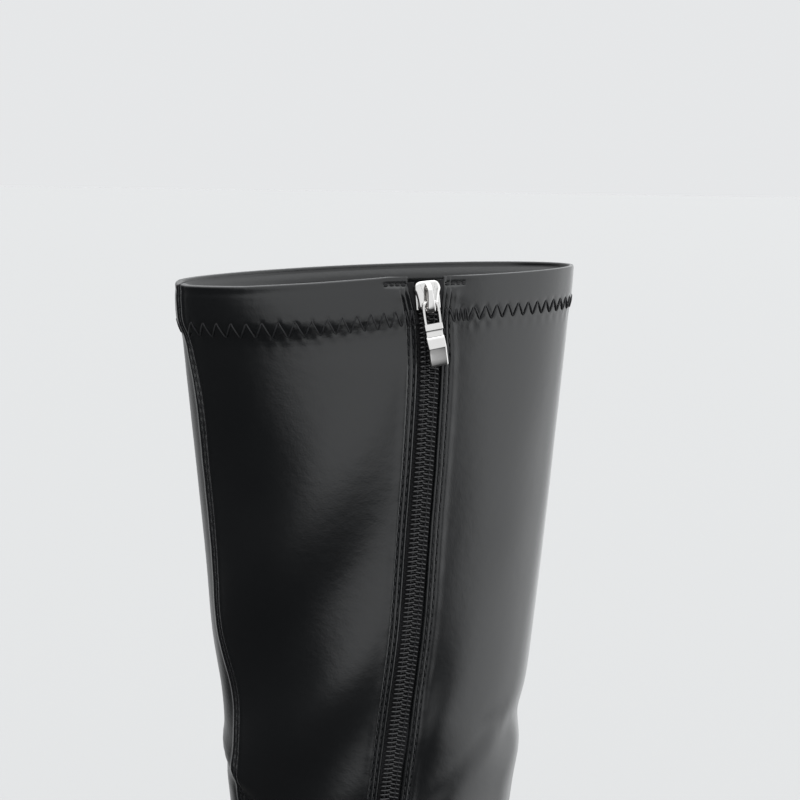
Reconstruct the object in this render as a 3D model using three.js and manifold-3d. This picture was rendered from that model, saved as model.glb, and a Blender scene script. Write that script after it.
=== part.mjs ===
// A knee-high boot for the right foot: hollow upper with a long zip on its inner side, insole, outsole,
// covered block heel, top lift, zip tape, zip coil, slider and a pull tab that swings.
// Millimetres. +Z is up, the toe points along -X and the inner (zip) side faces -Y.
// The origin is the middle of the heel's ground face.

import * as THREE from "three";
import * as BufferGeometryUtils from "three/addons/utils/BufferGeometryUtils.js";
import Module from "manifold-3d";

const wasm = await Module();
wasm.setup();

// ---- driving dimensions ----

const GAP = 0.3;                 // clearance between pieces that touch
const WALL = 1.5;                // leather and backing together
const HEM_DEPTH = 16;            // turned and padded band at the collar
const HEM_PROUD = 0.5;           // how far the band stands out of the leg
const HEM_WALL = 3.4;            // thickness of the padded band
const SOLE_THICKNESS = 4;
const SOLE_MARGIN = 1.4;         // outsole's edge beyond the upper
const INSOLE_THICKNESS = 2.4;
const INSOLE_INSET = 3.8;         // insole's edge inside the upper's outer face
const TOP_LIFT_THICKNESS = 6;
const HEEL_BREAST_X = -25;       // front face of the heel
const HEEL_TAPER = 0.9;          // heel's outline at the ground against its outline at the seat
const RING_POINTS = 32;          // points round each section of the upper
const RING_STEPS = 38;           // sections from collar to toe

const ZIP_BOTTOM = 92;           // height of the slot's lower end
const SLOT_HALF = 3.6;           // half the gap between the two leather edges
const SLOT_HALF_AT_RIM = 5.7;    // the edges part round the slider
const SLOT_FLARE = 17;           // length over which they part
const TAPE_HALF = 9;
const TAPE_BOW = 0.9;            // the tape's edges lie this much deeper, with the leg's curve
const TAPE_THICKNESS = 0.7;
const COIL_HALF = 2.9;
const COIL_PROUD = 0.7;          // coil's crown above the leather
const COIL_TOP_CLEARANCE = 3;    // coil's upper end below the rim
const SLIDER_LENGTH = 8.6;
const SLIDER_HALF = 4;
const SLIDER_PLATE = 1.2;
const SLIDER_DROP = 0.4;         // slider's upper end below the rim
const CROWN_HALF = 0.95;
const CROWN_RISE = 2.75;         // outside height of the crown over the plate
const CROWN_THICKNESS = 0.8;
const TAB_LENGTH = 19.6;
const TAB_HALF = 2.8;
const TAB_THICKNESS = 1;
const TAB_WINDOW_HALF = 1.9;
const TAB_WINDOW_LENGTH = 6.8;
const TAB_BAR = 1;               // bar that lies under the crown
const TAB_LEAN_DEG = 4;         // the tab hangs a little across the zip

// ---- the last, as sections from collar to toe ----
// fx, fz: front or top point of the section; bx, bz: back or bottom point; inner, outer: half-widths;
// mid: sideways place of its centre; widest: share of the way from back to front where it is widest;
// front, back: how square each half is (2 is an ellipse, less is more pointed, more is squarer).

const LAST = [
  { name: "collar",      fx: -76.5, fz: 422.5, bx: 50.5, bz: 427.5, inner: 34,   outer: 34,   mid: 0,    widest: 0.5,  front: 1.75, back: 1.9 },
  { name: "below_hem",   fx: -75.2, fz: 405.5, bx: 49.3, bz: 410,   inner: 34.5, outer: 34.5, mid: 0,    widest: 0.5,  front: 1.75, back: 1.9 },
  { name: "calf_top",    fx: -71,   fz: 358,   bx: 45.6, bz: 361,   inner: 36,   outer: 36,   mid: 0,    widest: 0.5,  front: 1.75, back: 1.9 },
  { name: "calf",        fx: -66.4, fz: 306,   bx: 40.8, bz: 308,   inner: 36.5, outer: 37,   mid: 0,    widest: 0.5,  front: 1.78, back: 1.95 },
  { name: "calf_low",    fx: -61.6, fz: 248,   bx: 34.6, bz: 247,   inner: 36,   outer: 36.5, mid: 0,    widest: 0.5,  front: 1.8,  back: 2 },
  { name: "shin",        fx: -58.6, fz: 202,   bx: 29.6, bz: 197,   inner: 35,   outer: 35.5, mid: 0,    widest: 0.5,  front: 1.85, back: 2 },
  { name: "above_ankle", fx: -58,   fz: 170,   bx: 26.2, bz: 154,   inner: 34,   outer: 35,   mid: 0,    widest: 0.5,  front: 1.9,  back: 2 },
  { name: "ankle",       fx: -61.5, fz: 145,   bx: 26,   bz: 113,   inner: 34,   outer: 34.5, mid: 0,    widest: 0.5,  front: 1.9,  back: 2 },
  { name: "counter",     fx: -68.5, fz: 125,   bx: 30.5, bz: 74,    inner: 33.5, outer: 34,   mid: 0,    widest: 0.5,  front: 1.9,  back: 2.1 },
  { name: "heel_corner", fx: -77.5, fz: 110,   bx: 29.5, bz: 35,    inner: 33,   outer: 33.5, mid: 0,    widest: 0.45, front: 1.9,  back: 2.4 },
  { name: "seat",        fx: -87.5, fz: 97,    bx: 0,    bz: 33,    inner: 32.5, outer: 34,   mid: 0,    widest: 0.4,  front: 1.9,  back: 2.8 },
  { name: "instep",      fx: -98,   fz: 86,    bx: -40,  bz: 23,    inner: 32.5, outer: 36,   mid: 0,    widest: 0.38, front: 1.9,  back: 2.8 },
  { name: "waist",       fx: -110,  fz: 75.5,  bx: -74,  bz: 10,    inner: 34.5, outer: 39.5, mid: 0,    widest: 0.38, front: 1.9,  back: 2.9 },
  { name: "joint",       fx: -123,  fz: 65.5,  bx: -106, bz: -2,    inner: 38.5, outer: 42.5, mid: 0,    widest: 0.38, front: 1.95, back: 3 },
  { name: "ball",        fx: -140,  fz: 54.5,  bx: -134, bz: -6,    inner: 40,   outer: 43.5, mid: -0.5, widest: 0.4,  front: 2,    back: 3 },
  { name: "toes_rear",   fx: -162,  fz: 43.5,  bx: -161, bz: -5.5,  inner: 37,   outer: 40,   mid: -2,   widest: 0.42, front: 2.1,  back: 3 },
  { name: "toes",        fx: -184,  fz: 35.5,  bx: -185, bz: -3,    inner: 29.5, outer: 32,   mid: -4,   widest: 0.44, front: 2.15, back: 3 },
  { name: "toe_front",   fx: -202,  fz: 30,    bx: -204, bz: 2,     inner: 19,   outer: 20.5, mid: -5.5, widest: 0.46, front: 2.15, back: 2.8 },
  { name: "toe_tip",     fx: -212,  fz: 25,    bx: -213, bz: 7,     inner: 9,    outer: 9.5,  mid: -6.3, widest: 0.48, front: 2.1,  back: 2.4 },
  { name: "toe_end",     fx: -215,  fz: 20.5,  bx: -215.2, bz: 12,  inner: 2.6,  outer: 2.6,  mid: -6.5, widest: 0.5,  front: 2,    back: 2 },
];

// The upper's lower edge, in side view, from behind the heel to beyond the toe.
const BED = [
  { x: 80,   z: 46 },
  { x: 30,   z: 45.6 },
  { x: 5,    z: 44.6 },
  { x: -20,  z: 41.6 },
  { x: -50,  z: 31.5 },
  { x: -80,  z: 18.6 },
  { x: -105, z: 8.8 },
  { x: -126, z: 4.3 },
  { x: -152, z: 4.3 },
  { x: -176, z: 6.6 },
  { x: -198, z: 10.8 },
  { x: -216, z: 15.4 },
  { x: -270, z: 30 },
];

// The zip's centre line on the inner side: share of the way from back to front at each height.
const ZIP = [
  { z: 70,  share: 0.51 },
  { z: 120, share: 0.535 },
  { z: 170, share: 0.55 },
  { z: 220, share: 0.541 },
  { z: 262, share: 0.515 },
  { z: 290, share: 0.488 },
  { z: 315, share: 0.464 },
  { z: 350, share: 0.446 },
  { z: 378, share: 0.433 },
  { z: 400, share: 0.427 },
  { z: 430, share: 0.445 },
];

// ---- smooth tables ----

// Cubic curve through the rows of a table: value of one column where the key has the given value.
function smooth(rows, keys, column, key) {
  const last = rows.length - 1;
  const rising = keys[last] > keys[0];
  let i = 0;
  while (i < last - 1 && (rising ? key > keys[i + 1] : key < keys[i + 1])) i += 1;
  const span = keys[i + 1] - keys[i];
  const share = THREE.MathUtils.clamp((key - keys[i]) / span, 0, 1);
  const slope = (k) => (rows[k + 1][column] - rows[k][column]) / (keys[k + 1] - keys[k]);
  const tangent = (k) => {
    if (k === 0) return slope(0);
    if (k === last) return slope(last - 1);
    if (slope(k - 1) * slope(k) <= 0) return 0;
    const before = keys[k] - keys[k - 1];
    const after = keys[k + 1] - keys[k];
    return (slope(k - 1) * after + slope(k) * before) / (before + after);
  };
  const [a, b] = [rows[i][column], rows[i + 1][column]];
  const [ta, tb] = [tangent(i) * span, tangent(i + 1) * span];
  const s2 = share * share;
  const s3 = s2 * share;
  return a * (2 * s3 - 3 * s2 + 1) + ta * (s3 - 2 * s2 + share) + b * (3 * s2 - 2 * s3) + tb * (s3 - s2);
}

const bedKeys = BED.map((row) => row.x);
const bedHeight = (x) => smooth(BED, bedKeys, "z", x);

const zipKeys = ZIP.map((row) => row.z);
const zipShare = (z) => smooth(ZIP, zipKeys, "share", z);

// Distance along the last, measured at the middles of its sections.
const lastKeys = [0];
for (let i = 1; i < LAST.length; i += 1) {
  const middle = (row) => [(row.fx + row.bx) / 2, (row.fz + row.bz) / 2];
  const [x0, z0] = middle(LAST[i - 1]);
  const [x1, z1] = middle(LAST[i]);
  lastKeys.push(lastKeys[i - 1] + Math.hypot(x1 - x0, z1 - z0));
}
const LAST_LENGTH = lastKeys[lastKeys.length - 1];
const COLUMNS = ["fx", "fz", "bx", "bz", "inner", "outer", "mid", "widest", "front", "back"];

function sectionAt(distance) {
  const row = {};
  for (const column of COLUMNS) row[column] = smooth(LAST, lastKeys, column, distance);
  return row;
}

// ---- the upper's surface ----

// Point of the last's surface. Turn 0 is the front, a quarter turn the inner side, half a turn the back.
function lastPoint(distance, turn) {
  const row = sectionAt(distance);
  const c = Math.cos(turn);
  const s = Math.sin(turn);
  const power = 2 / (c >= 0 ? row.front : row.back);
  const reach = Math.abs(c) ** power;
  const share = c >= 0 ? row.widest + (1 - row.widest) * reach : row.widest * (1 - reach);
  const side = s >= 0 ? -row.inner : row.outer;
  const y = row.mid + side * Math.abs(s) ** power;
  return new THREE.Vector3(
    row.bx + share * (row.fx - row.bx),
    y,
    row.bz + share * (row.fz - row.bz),
  );
}

// Outward direction of that surface, from small steps along it and round it.
function lastNormal(distance, turn) {
  const step = 0.4;
  const angle = 0.06;
  const low = Math.max(0, distance - step);
  const high = Math.min(LAST_LENGTH, distance + step);
  const along = lastPoint(high, turn).sub(lastPoint(low, turn));
  const round = lastPoint(distance, turn + angle).sub(lastPoint(distance, turn - angle));
  return along.cross(round).normalize();
}

function offsetPoint(distance, turn, offset) {
  return lastPoint(distance, turn).addScaledVector(lastNormal(distance, turn), offset);
}

// The hem stands proud and is thicker inside; both fade at its lower edge.
function hemShare(distance) {
  return 1 - THREE.MathUtils.smoothstep(distance, HEM_DEPTH - 1.5, HEM_DEPTH + 0.5);
}
const outerOffset = (distance) => HEM_PROUD * hemShare(distance);
const innerOffset = (distance) => outerOffset(distance) - WALL - (HEM_WALL - WALL) * hemShare(distance);

// ---- solids from sections ----

// Closed solid through sections that all have the same number of corners, with flat ends.
function loft(sections) {
  const count = sections[0].length;
  const positions = sections.flat().flatMap((p) => [p.x, p.y, p.z]);
  const index = [];
  const at = (i, j) => i * count + (j % count);
  for (let i = 0; i < sections.length - 1; i += 1) {
    for (let j = 0; j < count; j += 1) {
      index.push(at(i, j), at(i + 1, j), at(i + 1, j + 1));
      index.push(at(i, j), at(i + 1, j + 1), at(i, j + 1));
    }
  }
  const end = sections.length - 1;
  for (let j = 1; j < count - 1; j += 1) {
    index.push(at(0, 0), at(0, j), at(0, j + 1));
    index.push(at(end, 0), at(end, j + 1), at(end, j));
  }
  return outward(positions, index);
}

// Geometry from corners and triangles, turned right side out.
function outward(positions, index) {
  const corner = (i) => new THREE.Vector3().fromArray(positions, 3 * i);
  let volume = 0;
  for (let i = 0; i < index.length; i += 3) {
    volume += corner(index[i]).dot(corner(index[i + 1]).cross(corner(index[i + 2])));
  }
  const faces = volume > 0 ? index : index.slice().reverse();
  const geometry = new THREE.BufferGeometry();
  geometry.setAttribute("position", new THREE.Float32BufferAttribute(positions, 3));
  geometry.setIndex(faces);
  return geometry;
}

function toSolid(geometry) {
  const bare = geometry.clone();
  bare.deleteAttribute("normal");
  bare.deleteAttribute("uv");
  const merged = BufferGeometryUtils.mergeVertices(bare, 1e-4);
  return new wasm.Manifold(new wasm.Mesh({
    numProp: 3,
    vertProperties: new Float32Array(merged.attributes.position.array),
    triVerts: new Uint32Array(merged.index.array),
  }));
}

function toGeometry(solid) {
  const mesh = solid.getMesh();
  const geometry = new THREE.BufferGeometry();
  geometry.setAttribute("position", new THREE.BufferAttribute(mesh.vertProperties, 3));
  geometry.setIndex(new THREE.BufferAttribute(mesh.triVerts, 1));
  return geometry;
}

// Everything under the upper's lower edge.
function spaceUnderBed() {
  const steps = 60;
  const [rear, fore, floor, reach] = [60, -240, -40, 70];
  const outline = new THREE.Shape();
  outline.moveTo(rear, floor);
  for (let i = 0; i <= steps; i += 1) {
    const x = THREE.MathUtils.lerp(rear, fore, i / steps);
    outline.lineTo(x, bedHeight(x));
  }
  outline.lineTo(fore, floor);
  outline.closePath();
  const geometry = new THREE.ExtrudeGeometry(outline, { depth: 2 * reach, bevelEnabled: false });
  geometry.rotateX(Math.PI / 2);
  geometry.translate(0, reach, 0);
  return toSolid(geometry);
}

// ---- upper ----

function upperRings() {
  const rings = [0, HEM_DEPTH - 2, HEM_DEPTH + 1];
  const rest = RING_STEPS - rings.length;
  for (let i = 1; i <= rest; i += 1) {
    rings.push(THREE.MathUtils.lerp(HEM_DEPTH + 1, LAST_LENGTH, i / rest));
  }
  rings.splice(rings.length - 1, 0, LAST_LENGTH - 2);
  return rings;
}

function hollowShell() {
  const rings = upperRings();
  const positions = [];
  for (const offset of [outerOffset, innerOffset]) {
    for (const distance of rings) {
      for (let j = 0; j < RING_POINTS; j += 1) {
        const turn = (2 * Math.PI * j) / RING_POINTS;
        positions.push(...offsetPoint(distance, turn, offset(distance)));
      }
    }
  }
  const count = rings.length;
  const at = (shell, i, j) => (shell * count + i) * RING_POINTS + (j % RING_POINTS);
  const index = [];
  for (let i = 0; i < count - 1; i += 1) {
    for (let j = 0; j < RING_POINTS; j += 1) {
      index.push(at(0, i, j), at(0, i + 1, j + 1), at(0, i + 1, j));
      index.push(at(0, i, j), at(0, i, j + 1), at(0, i + 1, j + 1));
      index.push(at(1, i, j), at(1, i + 1, j), at(1, i + 1, j + 1));
      index.push(at(1, i, j), at(1, i + 1, j + 1), at(1, i, j + 1));
    }
  }
  for (let j = 0; j < RING_POINTS; j += 1) {
    index.push(at(0, 0, j), at(1, 0, j), at(1, 0, j + 1));
    index.push(at(0, 0, j), at(1, 0, j + 1), at(0, 0, j + 1));
  }
  const end = count - 1;
  for (let j = 1; j < RING_POINTS - 1; j += 1) {
    index.push(at(0, end, 0), at(0, end, j), at(0, end, j + 1));
    index.push(at(1, end, 0), at(1, end, j + 1), at(1, end, j));
  }
  return outward(positions, index);
}

// ---- the zip's place on the inner side ----

// Distance and turn of the surface point on the zip's line at a height.
function zipPlace(z) {
  const share = zipShare(z);
  let [low, high] = [0, LAST_LENGTH * 0.62];
  let turn = Math.PI / 2;
  for (let i = 0; i < 40; i += 1) {
    const middle = (low + high) / 2;
    const row = sectionAt(middle);
    const below = share < row.widest;
    const reach = below ? 1 - share / row.widest : (share - row.widest) / (1 - row.widest);
    const c = reach ** ((below ? row.back : row.front) / 2);
    turn = Math.acos(below ? -c : c);
    if (lastPoint(middle, turn).z > z) low = middle;
    else high = middle;
  }
  return { distance: (low + high) / 2, turn };
}

const RIM_Z = lastPoint(0, zipPlace(LAST[0].bz).turn).z;
const TOP_STRAIGHT = 4;          // the line runs straight on over this length, and past the rim

// Local axes there: out of the surface, down the zip, and across it towards the heel.
function zipAxes(z) {
  const height = Math.min(z, RIM_Z - TOP_STRAIGHT);
  const here = zipPlace(height);
  const origin = lastPoint(here.distance, here.turn);
  const out = lastNormal(here.distance, here.turn);
  const near = zipPlace(height - 2);
  const down = lastPoint(near.distance, near.turn).sub(origin).normalize();
  const across = new THREE.Vector3().crossVectors(out, down).normalize();
  down.crossVectors(across, out).normalize();
  origin.addScaledVector(down, height - z);
  return { origin, out, down, across };
}

// Strip along the zip between two heights; its profile gives [across, out] corners at each height.
function zipStrip(bottom, top, steps, profile) {
  const sections = [];
  for (let i = 0; i <= steps; i += 1) {
    const z = THREE.MathUtils.lerp(top, bottom, i / steps);
    const { origin, out, across } = zipAxes(z);
    sections.push(profile(z).map(([a, o]) => (
      origin.clone().addScaledVector(across, a).addScaledVector(out, o)
    )));
  }
  return loft(sections);
}

function slotHalf(z) {
  return THREE.MathUtils.lerp(
    SLOT_HALF, SLOT_HALF_AT_RIM, THREE.MathUtils.smoothstep(z, RIM_Z - SLOT_FLARE, RIM_Z - 4),
  );
}

function slotCutter() {
  const [inside, outside] = [-8, 5];
  return zipStrip(ZIP_BOTTOM, RIM_Z + 6, 44, (z) => {
    const half = slotHalf(z);
    return [[-half, inside], [half, inside], [half, outside], [-half, outside]];
  });
}

const tapeTop = RIM_Z - 4;

// The tape lies inside the upper, behind both leather edges.
function zipTape() {
  const face = -WALL - 2 * GAP;
  return zipStrip(ZIP_BOTTOM - 6, tapeTop, 40, (z) => {
    const inHem = hemShare(zipPlace(z).distance);
    const outer = face - (HEM_WALL - WALL) * inHem;
    const back = outer - TAPE_THICKNESS;
    const bow = TAPE_BOW;
    const half = TAPE_BOW / 4;
    return [
      [-TAPE_HALF, outer - bow], [-TAPE_HALF / 2, outer - half],
      [TAPE_HALF / 2, outer - half], [TAPE_HALF, outer - bow],
      [TAPE_HALF, back - bow], [TAPE_HALF / 2, back - half],
      [-TAPE_HALF / 2, back - half], [-TAPE_HALF, back - bow],
    ];
  });
}

function zipCoil() {
  return zipStrip(ZIP_BOTTOM + 2.5, RIM_Z - COIL_TOP_CLEARANCE, 40, () => {
    const back = -WALL;
    const shoulder = COIL_PROUD - 0.7;
    return [
      [-COIL_HALF, back + 0.3], [-COIL_HALF, shoulder], [-COIL_HALF * 0.62, COIL_PROUD],
      [COIL_HALF * 0.62, COIL_PROUD], [COIL_HALF, shoulder], [COIL_HALF, back + 0.3],
      [COIL_HALF * 0.8, back], [-COIL_HALF * 0.8, back],
    ];
  });
}

// ---- slider and pull tab ----

const SLIDER_TOP = RIM_Z - SLIDER_DROP;
const sliderAxes = zipAxes(SLIDER_TOP - SLIDER_LENGTH / 2);
const PLATE_FACE = COIL_PROUD + GAP + SLIDER_PLATE;
const HINGE_DOWN = 1.9;                                  // hinge below the slider's middle
const HINGE_OUT = PLATE_FACE + GAP + TAB_BAR / 2 + 0.1;

// Turns a flat piece drawn as (across, up the zip, out) to its place on the slider.
function placeOnSlider(mesh, down, out, leanDeg = 0) {
  const { origin, out: normal, down: downward, across } = sliderAxes;
  const frame = new THREE.Matrix4().makeBasis(across.clone(), downward.clone().negate(), normal.clone());
  mesh.quaternion.setFromRotationMatrix(frame);
  mesh.rotateZ(THREE.MathUtils.degToRad(leanDeg));
  mesh.position.copy(origin).addScaledVector(downward, down).addScaledVector(normal, out);
  return mesh;
}

// Slider seen from outside: broad shoulders above, narrower below.
function sliderOutline() {
  const half = SLIDER_LENGTH / 2;
  const outline = new THREE.Shape();
  outline.moveTo(-SLIDER_HALF * 0.78, -half);
  outline.lineTo(SLIDER_HALF * 0.78, -half);
  outline.quadraticCurveTo(SLIDER_HALF * 0.8, -half * 0.2, SLIDER_HALF, half * 0.45);
  outline.quadraticCurveTo(SLIDER_HALF * 0.95, half, SLIDER_HALF * 0.45, half);
  outline.lineTo(-SLIDER_HALF * 0.45, half);
  outline.quadraticCurveTo(-SLIDER_HALF * 0.95, half, -SLIDER_HALF, half * 0.45);
  outline.quadraticCurveTo(-SLIDER_HALF * 0.8, -half * 0.2, -SLIDER_HALF * 0.78, -half);
  return outline;
}

function sliderBody() {
  const plate = new THREE.ExtrudeGeometry(sliderOutline(), {
    depth: SLIDER_PLATE, bevelEnabled: false, curveSegments: 5,
  });
  const solids = [toSolid(plate)];
  const flangeDepth = 1.4;
  const flangeThickness = 0.7;
  for (const side of [-1, 1]) {
    const flange = new THREE.BoxGeometry(flangeThickness, SLIDER_LENGTH * 0.7, flangeDepth);
    flange.translate(side * (COIL_HALF + GAP + flangeThickness / 2 - 0.1), -SLIDER_LENGTH * 0.13, -flangeDepth / 2 + 0.2);
    solids.push(toSolid(flange));
  }
  solids.push(toSolid(crown()));
  return toGeometry(wasm.Manifold.union(solids));
}

// Arched strap over the plate that holds the tab's bar.
function crown() {
  const [low, high] = [-HINGE_DOWN - 3.4, SLIDER_LENGTH / 2 - 0.7];
  const base = SLIDER_PLATE - 0.3;
  const top = SLIDER_PLATE + CROWN_RISE;
  const arch = new THREE.Shape();
  arch.moveTo(low, base);
  arch.lineTo(low, top - 1.6);
  arch.quadraticCurveTo(low, top, low + 1.8, top);
  arch.lineTo(high - 3.2, top);
  arch.quadraticCurveTo(high, top - 0.3, high, base);
  arch.lineTo(high - 1.2, base);
  arch.quadraticCurveTo(high - 1.6, top - CROWN_THICKNESS, high - 3.4, top - CROWN_THICKNESS);
  arch.lineTo(low + 1.8, top - CROWN_THICKNESS);
  arch.quadraticCurveTo(low + CROWN_THICKNESS, top - CROWN_THICKNESS, low + CROWN_THICKNESS, top - 1.8);
  arch.lineTo(low + CROWN_THICKNESS, base);
  arch.closePath();
  const geometry = new THREE.ExtrudeGeometry(arch, {
    depth: 2 * CROWN_HALF, bevelEnabled: false, curveSegments: 4,
  });
  // The arch is drawn with its length along X and its height along Y; it runs up the slider.
  geometry.applyMatrix4(new THREE.Matrix4().makeBasis(
    new THREE.Vector3(0, 1, 0), new THREE.Vector3(0, 0, 1), new THREE.Vector3(1, 0, 0),
  ));
  geometry.translate(-CROWN_HALF, 0, 0);
  return geometry;
}

// Flat tab with a window at its upper end; its origin is the middle of its bar.
function pullTab() {
  const top = TAB_BAR / 2;
  const bottom = top - TAB_LENGTH;
  const round = 1.6;
  const corner = 0.5;
  const outline = new THREE.Shape();
  outline.moveTo(-TAB_HALF + round, top);
  outline.lineTo(TAB_HALF - round, top);
  outline.quadraticCurveTo(TAB_HALF, top, TAB_HALF, top - round);
  outline.lineTo(TAB_HALF, bottom + corner);
  outline.quadraticCurveTo(TAB_HALF, bottom, TAB_HALF - corner, bottom);
  outline.lineTo(-TAB_HALF + corner, bottom);
  outline.quadraticCurveTo(-TAB_HALF, bottom, -TAB_HALF, bottom + corner);
  outline.lineTo(-TAB_HALF, top - round);
  outline.quadraticCurveTo(-TAB_HALF, top, -TAB_HALF + round, top);
  const window = new THREE.Path();
  const high = -TAB_BAR / 2;
  const low = high - TAB_WINDOW_LENGTH;
  const bend = 1.2;
  window.moveTo(-TAB_WINDOW_HALF, high - bend);
  window.lineTo(-TAB_WINDOW_HALF, low + bend);
  window.quadraticCurveTo(-TAB_WINDOW_HALF, low, 0, low);
  window.quadraticCurveTo(TAB_WINDOW_HALF, low, TAB_WINDOW_HALF, low + bend);
  window.lineTo(TAB_WINDOW_HALF, high - bend);
  window.quadraticCurveTo(TAB_WINDOW_HALF, high, 0, high);
  window.quadraticCurveTo(-TAB_WINDOW_HALF, high, -TAB_WINDOW_HALF, high - bend);
  outline.holes.push(window);
  const geometry = new THREE.ExtrudeGeometry(outline, {
    depth: TAB_THICKNESS, bevelEnabled: false, curveSegments: 4,
  });
  return geometry.translate(0, 0, -TAB_THICKNESS / 2);
}

// ---- sole, insole and heel, from the line where the upper meets them ----

// Turn at which a section of the last crosses the bed, on the inner (1) or outer (-1) side.
function featherTurn(distance, side) {
  let [above, below] = [Math.PI / 2, Math.PI];
  for (let i = 0; i < 40; i += 1) {
    const turn = (above + below) / 2;
    const p = lastPoint(distance, side * turn);
    if (p.z > bedHeight(p.x)) above = turn;
    else below = turn;
  }
  return side * above;
}

// Distance at which the last's back line goes under the bed.
function heelDistance() {
  let [above, below] = [lastKeys[8], lastKeys[9]];
  for (let i = 0; i < 40; i += 1) {
    const distance = (above + below) / 2;
    const p = lastPoint(distance, Math.PI);
    if (p.z > bedHeight(p.x)) above = distance;
    else below = distance;
  }
  return below;
}

// Plan outline in pairs of points, inner side and outer side, moved outwards by a margin.
function outlinePairs(margin, steps = 46) {
  const start = heelDistance();
  const pairs = [];
  for (let i = 0; i <= steps; i += 1) {
    const share = i / steps;
    const eased = share - 0.12 * Math.sin(2 * Math.PI * share);
    const distance = THREE.MathUtils.lerp(start + 0.02, LAST_LENGTH, eased);
    pairs.push([1, -1].map((side) => lastPoint(distance, featherTurn(distance, side))));
  }
  const loop = [...pairs.map((p) => p[0]), ...pairs.map((p) => p[1]).reverse()];
  const moved = loop.map((p, i) => {
    const before = loop[(i + loop.length - 1) % loop.length];
    const after = loop[(i + 1) % loop.length];
    const along = new THREE.Vector2(after.x - before.x, after.y - before.y).normalize();
    return new THREE.Vector2(p.x - along.y * margin, p.y + along.x * margin);
  });
  const total = moved.length;
  return pairs.map((_, i) => [moved[i], moved[total - 1 - i]]);
}

// Slab between two heights over paired outlines.
function pairedSlab(pairs, topOf, bottomOf, shrink = (p) => p) {
  return loft(pairs.map(([a, b]) => {
    const [la, lb] = [shrink(a), shrink(b)];
    return [
      new THREE.Vector3(a.x, a.y, topOf(a.x)), new THREE.Vector3(b.x, b.y, topOf(b.x)),
      new THREE.Vector3(lb.x, lb.y, bottomOf(lb.x)), new THREE.Vector3(la.x, la.y, bottomOf(la.x)),
    ];
  }));
}

const soleTop = (x) => bedHeight(x) - GAP;
const soleBottom = (x) => soleTop(x) - SOLE_THICKNESS;

function outsole() {
  return pairedSlab(outlinePairs(SOLE_MARGIN), soleTop, soleBottom);
}

function insole() {
  const pairs = outlinePairs(-INSOLE_INSET);
  return pairedSlab(pairs, (x) => bedHeight(x) + INSOLE_THICKNESS, bedHeight);
}

// Outline of the heel's part of the sole, cut square at the breast.
function heelPairs() {
  const pairs = outlinePairs(SOLE_MARGIN * 0.6, 90).filter(([a]) => a.x > HEEL_BREAST_X);
  const [a, b] = pairs[pairs.length - 1];
  pairs.push([new THREE.Vector2(HEEL_BREAST_X, a.y), new THREE.Vector2(HEEL_BREAST_X, b.y)]);
  return pairs.filter((_, i) => i % 2 === 0 || i === pairs.length - 1);
}

const taper = (share) => (p) => new THREE.Vector2(
  p.x * THREE.MathUtils.lerp(1, HEEL_TAPER, share), p.y * THREE.MathUtils.lerp(1, HEEL_TAPER, share),
);

function heelBlock() {
  return pairedSlab(heelPairs(), (x) => soleBottom(x) - GAP, () => TOP_LIFT_THICKNESS + GAP, taper(1));
}

function topLift() {
  const pairs = heelPairs().map((pair) => pair.map(taper(1)));
  return pairedSlab(pairs, () => TOP_LIFT_THICKNESS, () => 0);
}

// ---- the boot ----

const boot = new THREE.Group();

function add(name, geometry, color, roughness, metalness = 0) {
  const mesh = new THREE.Mesh(geometry, new THREE.MeshStandardMaterial({ color, roughness, metalness }));
  mesh.name = name;
  boot.add(mesh);
  return mesh;
}

const shell = toSolid(hollowShell());
const upper = shell.subtract(spaceUnderBed()).subtract(toSolid(slotCutter()));

add("upper", toGeometry(upper), 0x1b1d1f, 0.38);
add("insole", insole(), 0x2a2826, 0.85);
add("outsole", outsole(), 0x141414, 0.7);
add("heel", heelBlock(), 0x1a1b1d, 0.45);
add("top_lift", topLift(), 0x111111, 0.75);
add("zip_tape", zipTape(), 0x101011, 0.9);
add("zip_coil", zipCoil(), 0x141516, 0.35);
placeOnSlider(add("zip_slider", sliderBody(), 0xc9ccce, 0.2, 1), 0, COIL_PROUD + GAP);
placeOnSlider(add("pull_tab", pullTab(), 0xc9ccce, 0.15, 1), HINGE_DOWN, HINGE_OUT, TAB_LEAN_DEG);

export default boot;
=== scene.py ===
# %% [markdown]
# # A knee-high boot with an inner zip
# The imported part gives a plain, true-sized boot. This lesson dresses it: leather panels with a padded
# hem, seams and stitches, a coil zip with a nickel slider, a lining, a sole and a covered heel.
# Everything is in the part's own frame: up is +Z, the toe points along -X, and the zip side faces -Y.
# It is a right boot. Lengths are written in millimetres and scaled once, when a mesh is made.

# %% Load the frame
import math

import bpy
import numpy as np
from mathutils import Matrix


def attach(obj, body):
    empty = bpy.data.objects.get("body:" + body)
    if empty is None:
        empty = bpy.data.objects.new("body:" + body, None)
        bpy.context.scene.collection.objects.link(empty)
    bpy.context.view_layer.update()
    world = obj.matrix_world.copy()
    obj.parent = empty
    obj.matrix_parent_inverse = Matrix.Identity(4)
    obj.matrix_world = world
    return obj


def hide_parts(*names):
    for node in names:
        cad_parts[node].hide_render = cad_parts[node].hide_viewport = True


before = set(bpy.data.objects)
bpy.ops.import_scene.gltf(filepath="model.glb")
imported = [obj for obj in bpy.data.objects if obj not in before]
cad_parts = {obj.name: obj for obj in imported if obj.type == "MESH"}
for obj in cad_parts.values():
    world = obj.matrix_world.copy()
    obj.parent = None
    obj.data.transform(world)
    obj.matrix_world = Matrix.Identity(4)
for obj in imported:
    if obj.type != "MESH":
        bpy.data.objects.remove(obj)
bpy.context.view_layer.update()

MM = 0.001
print("nodes:", sorted(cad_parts))

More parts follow.
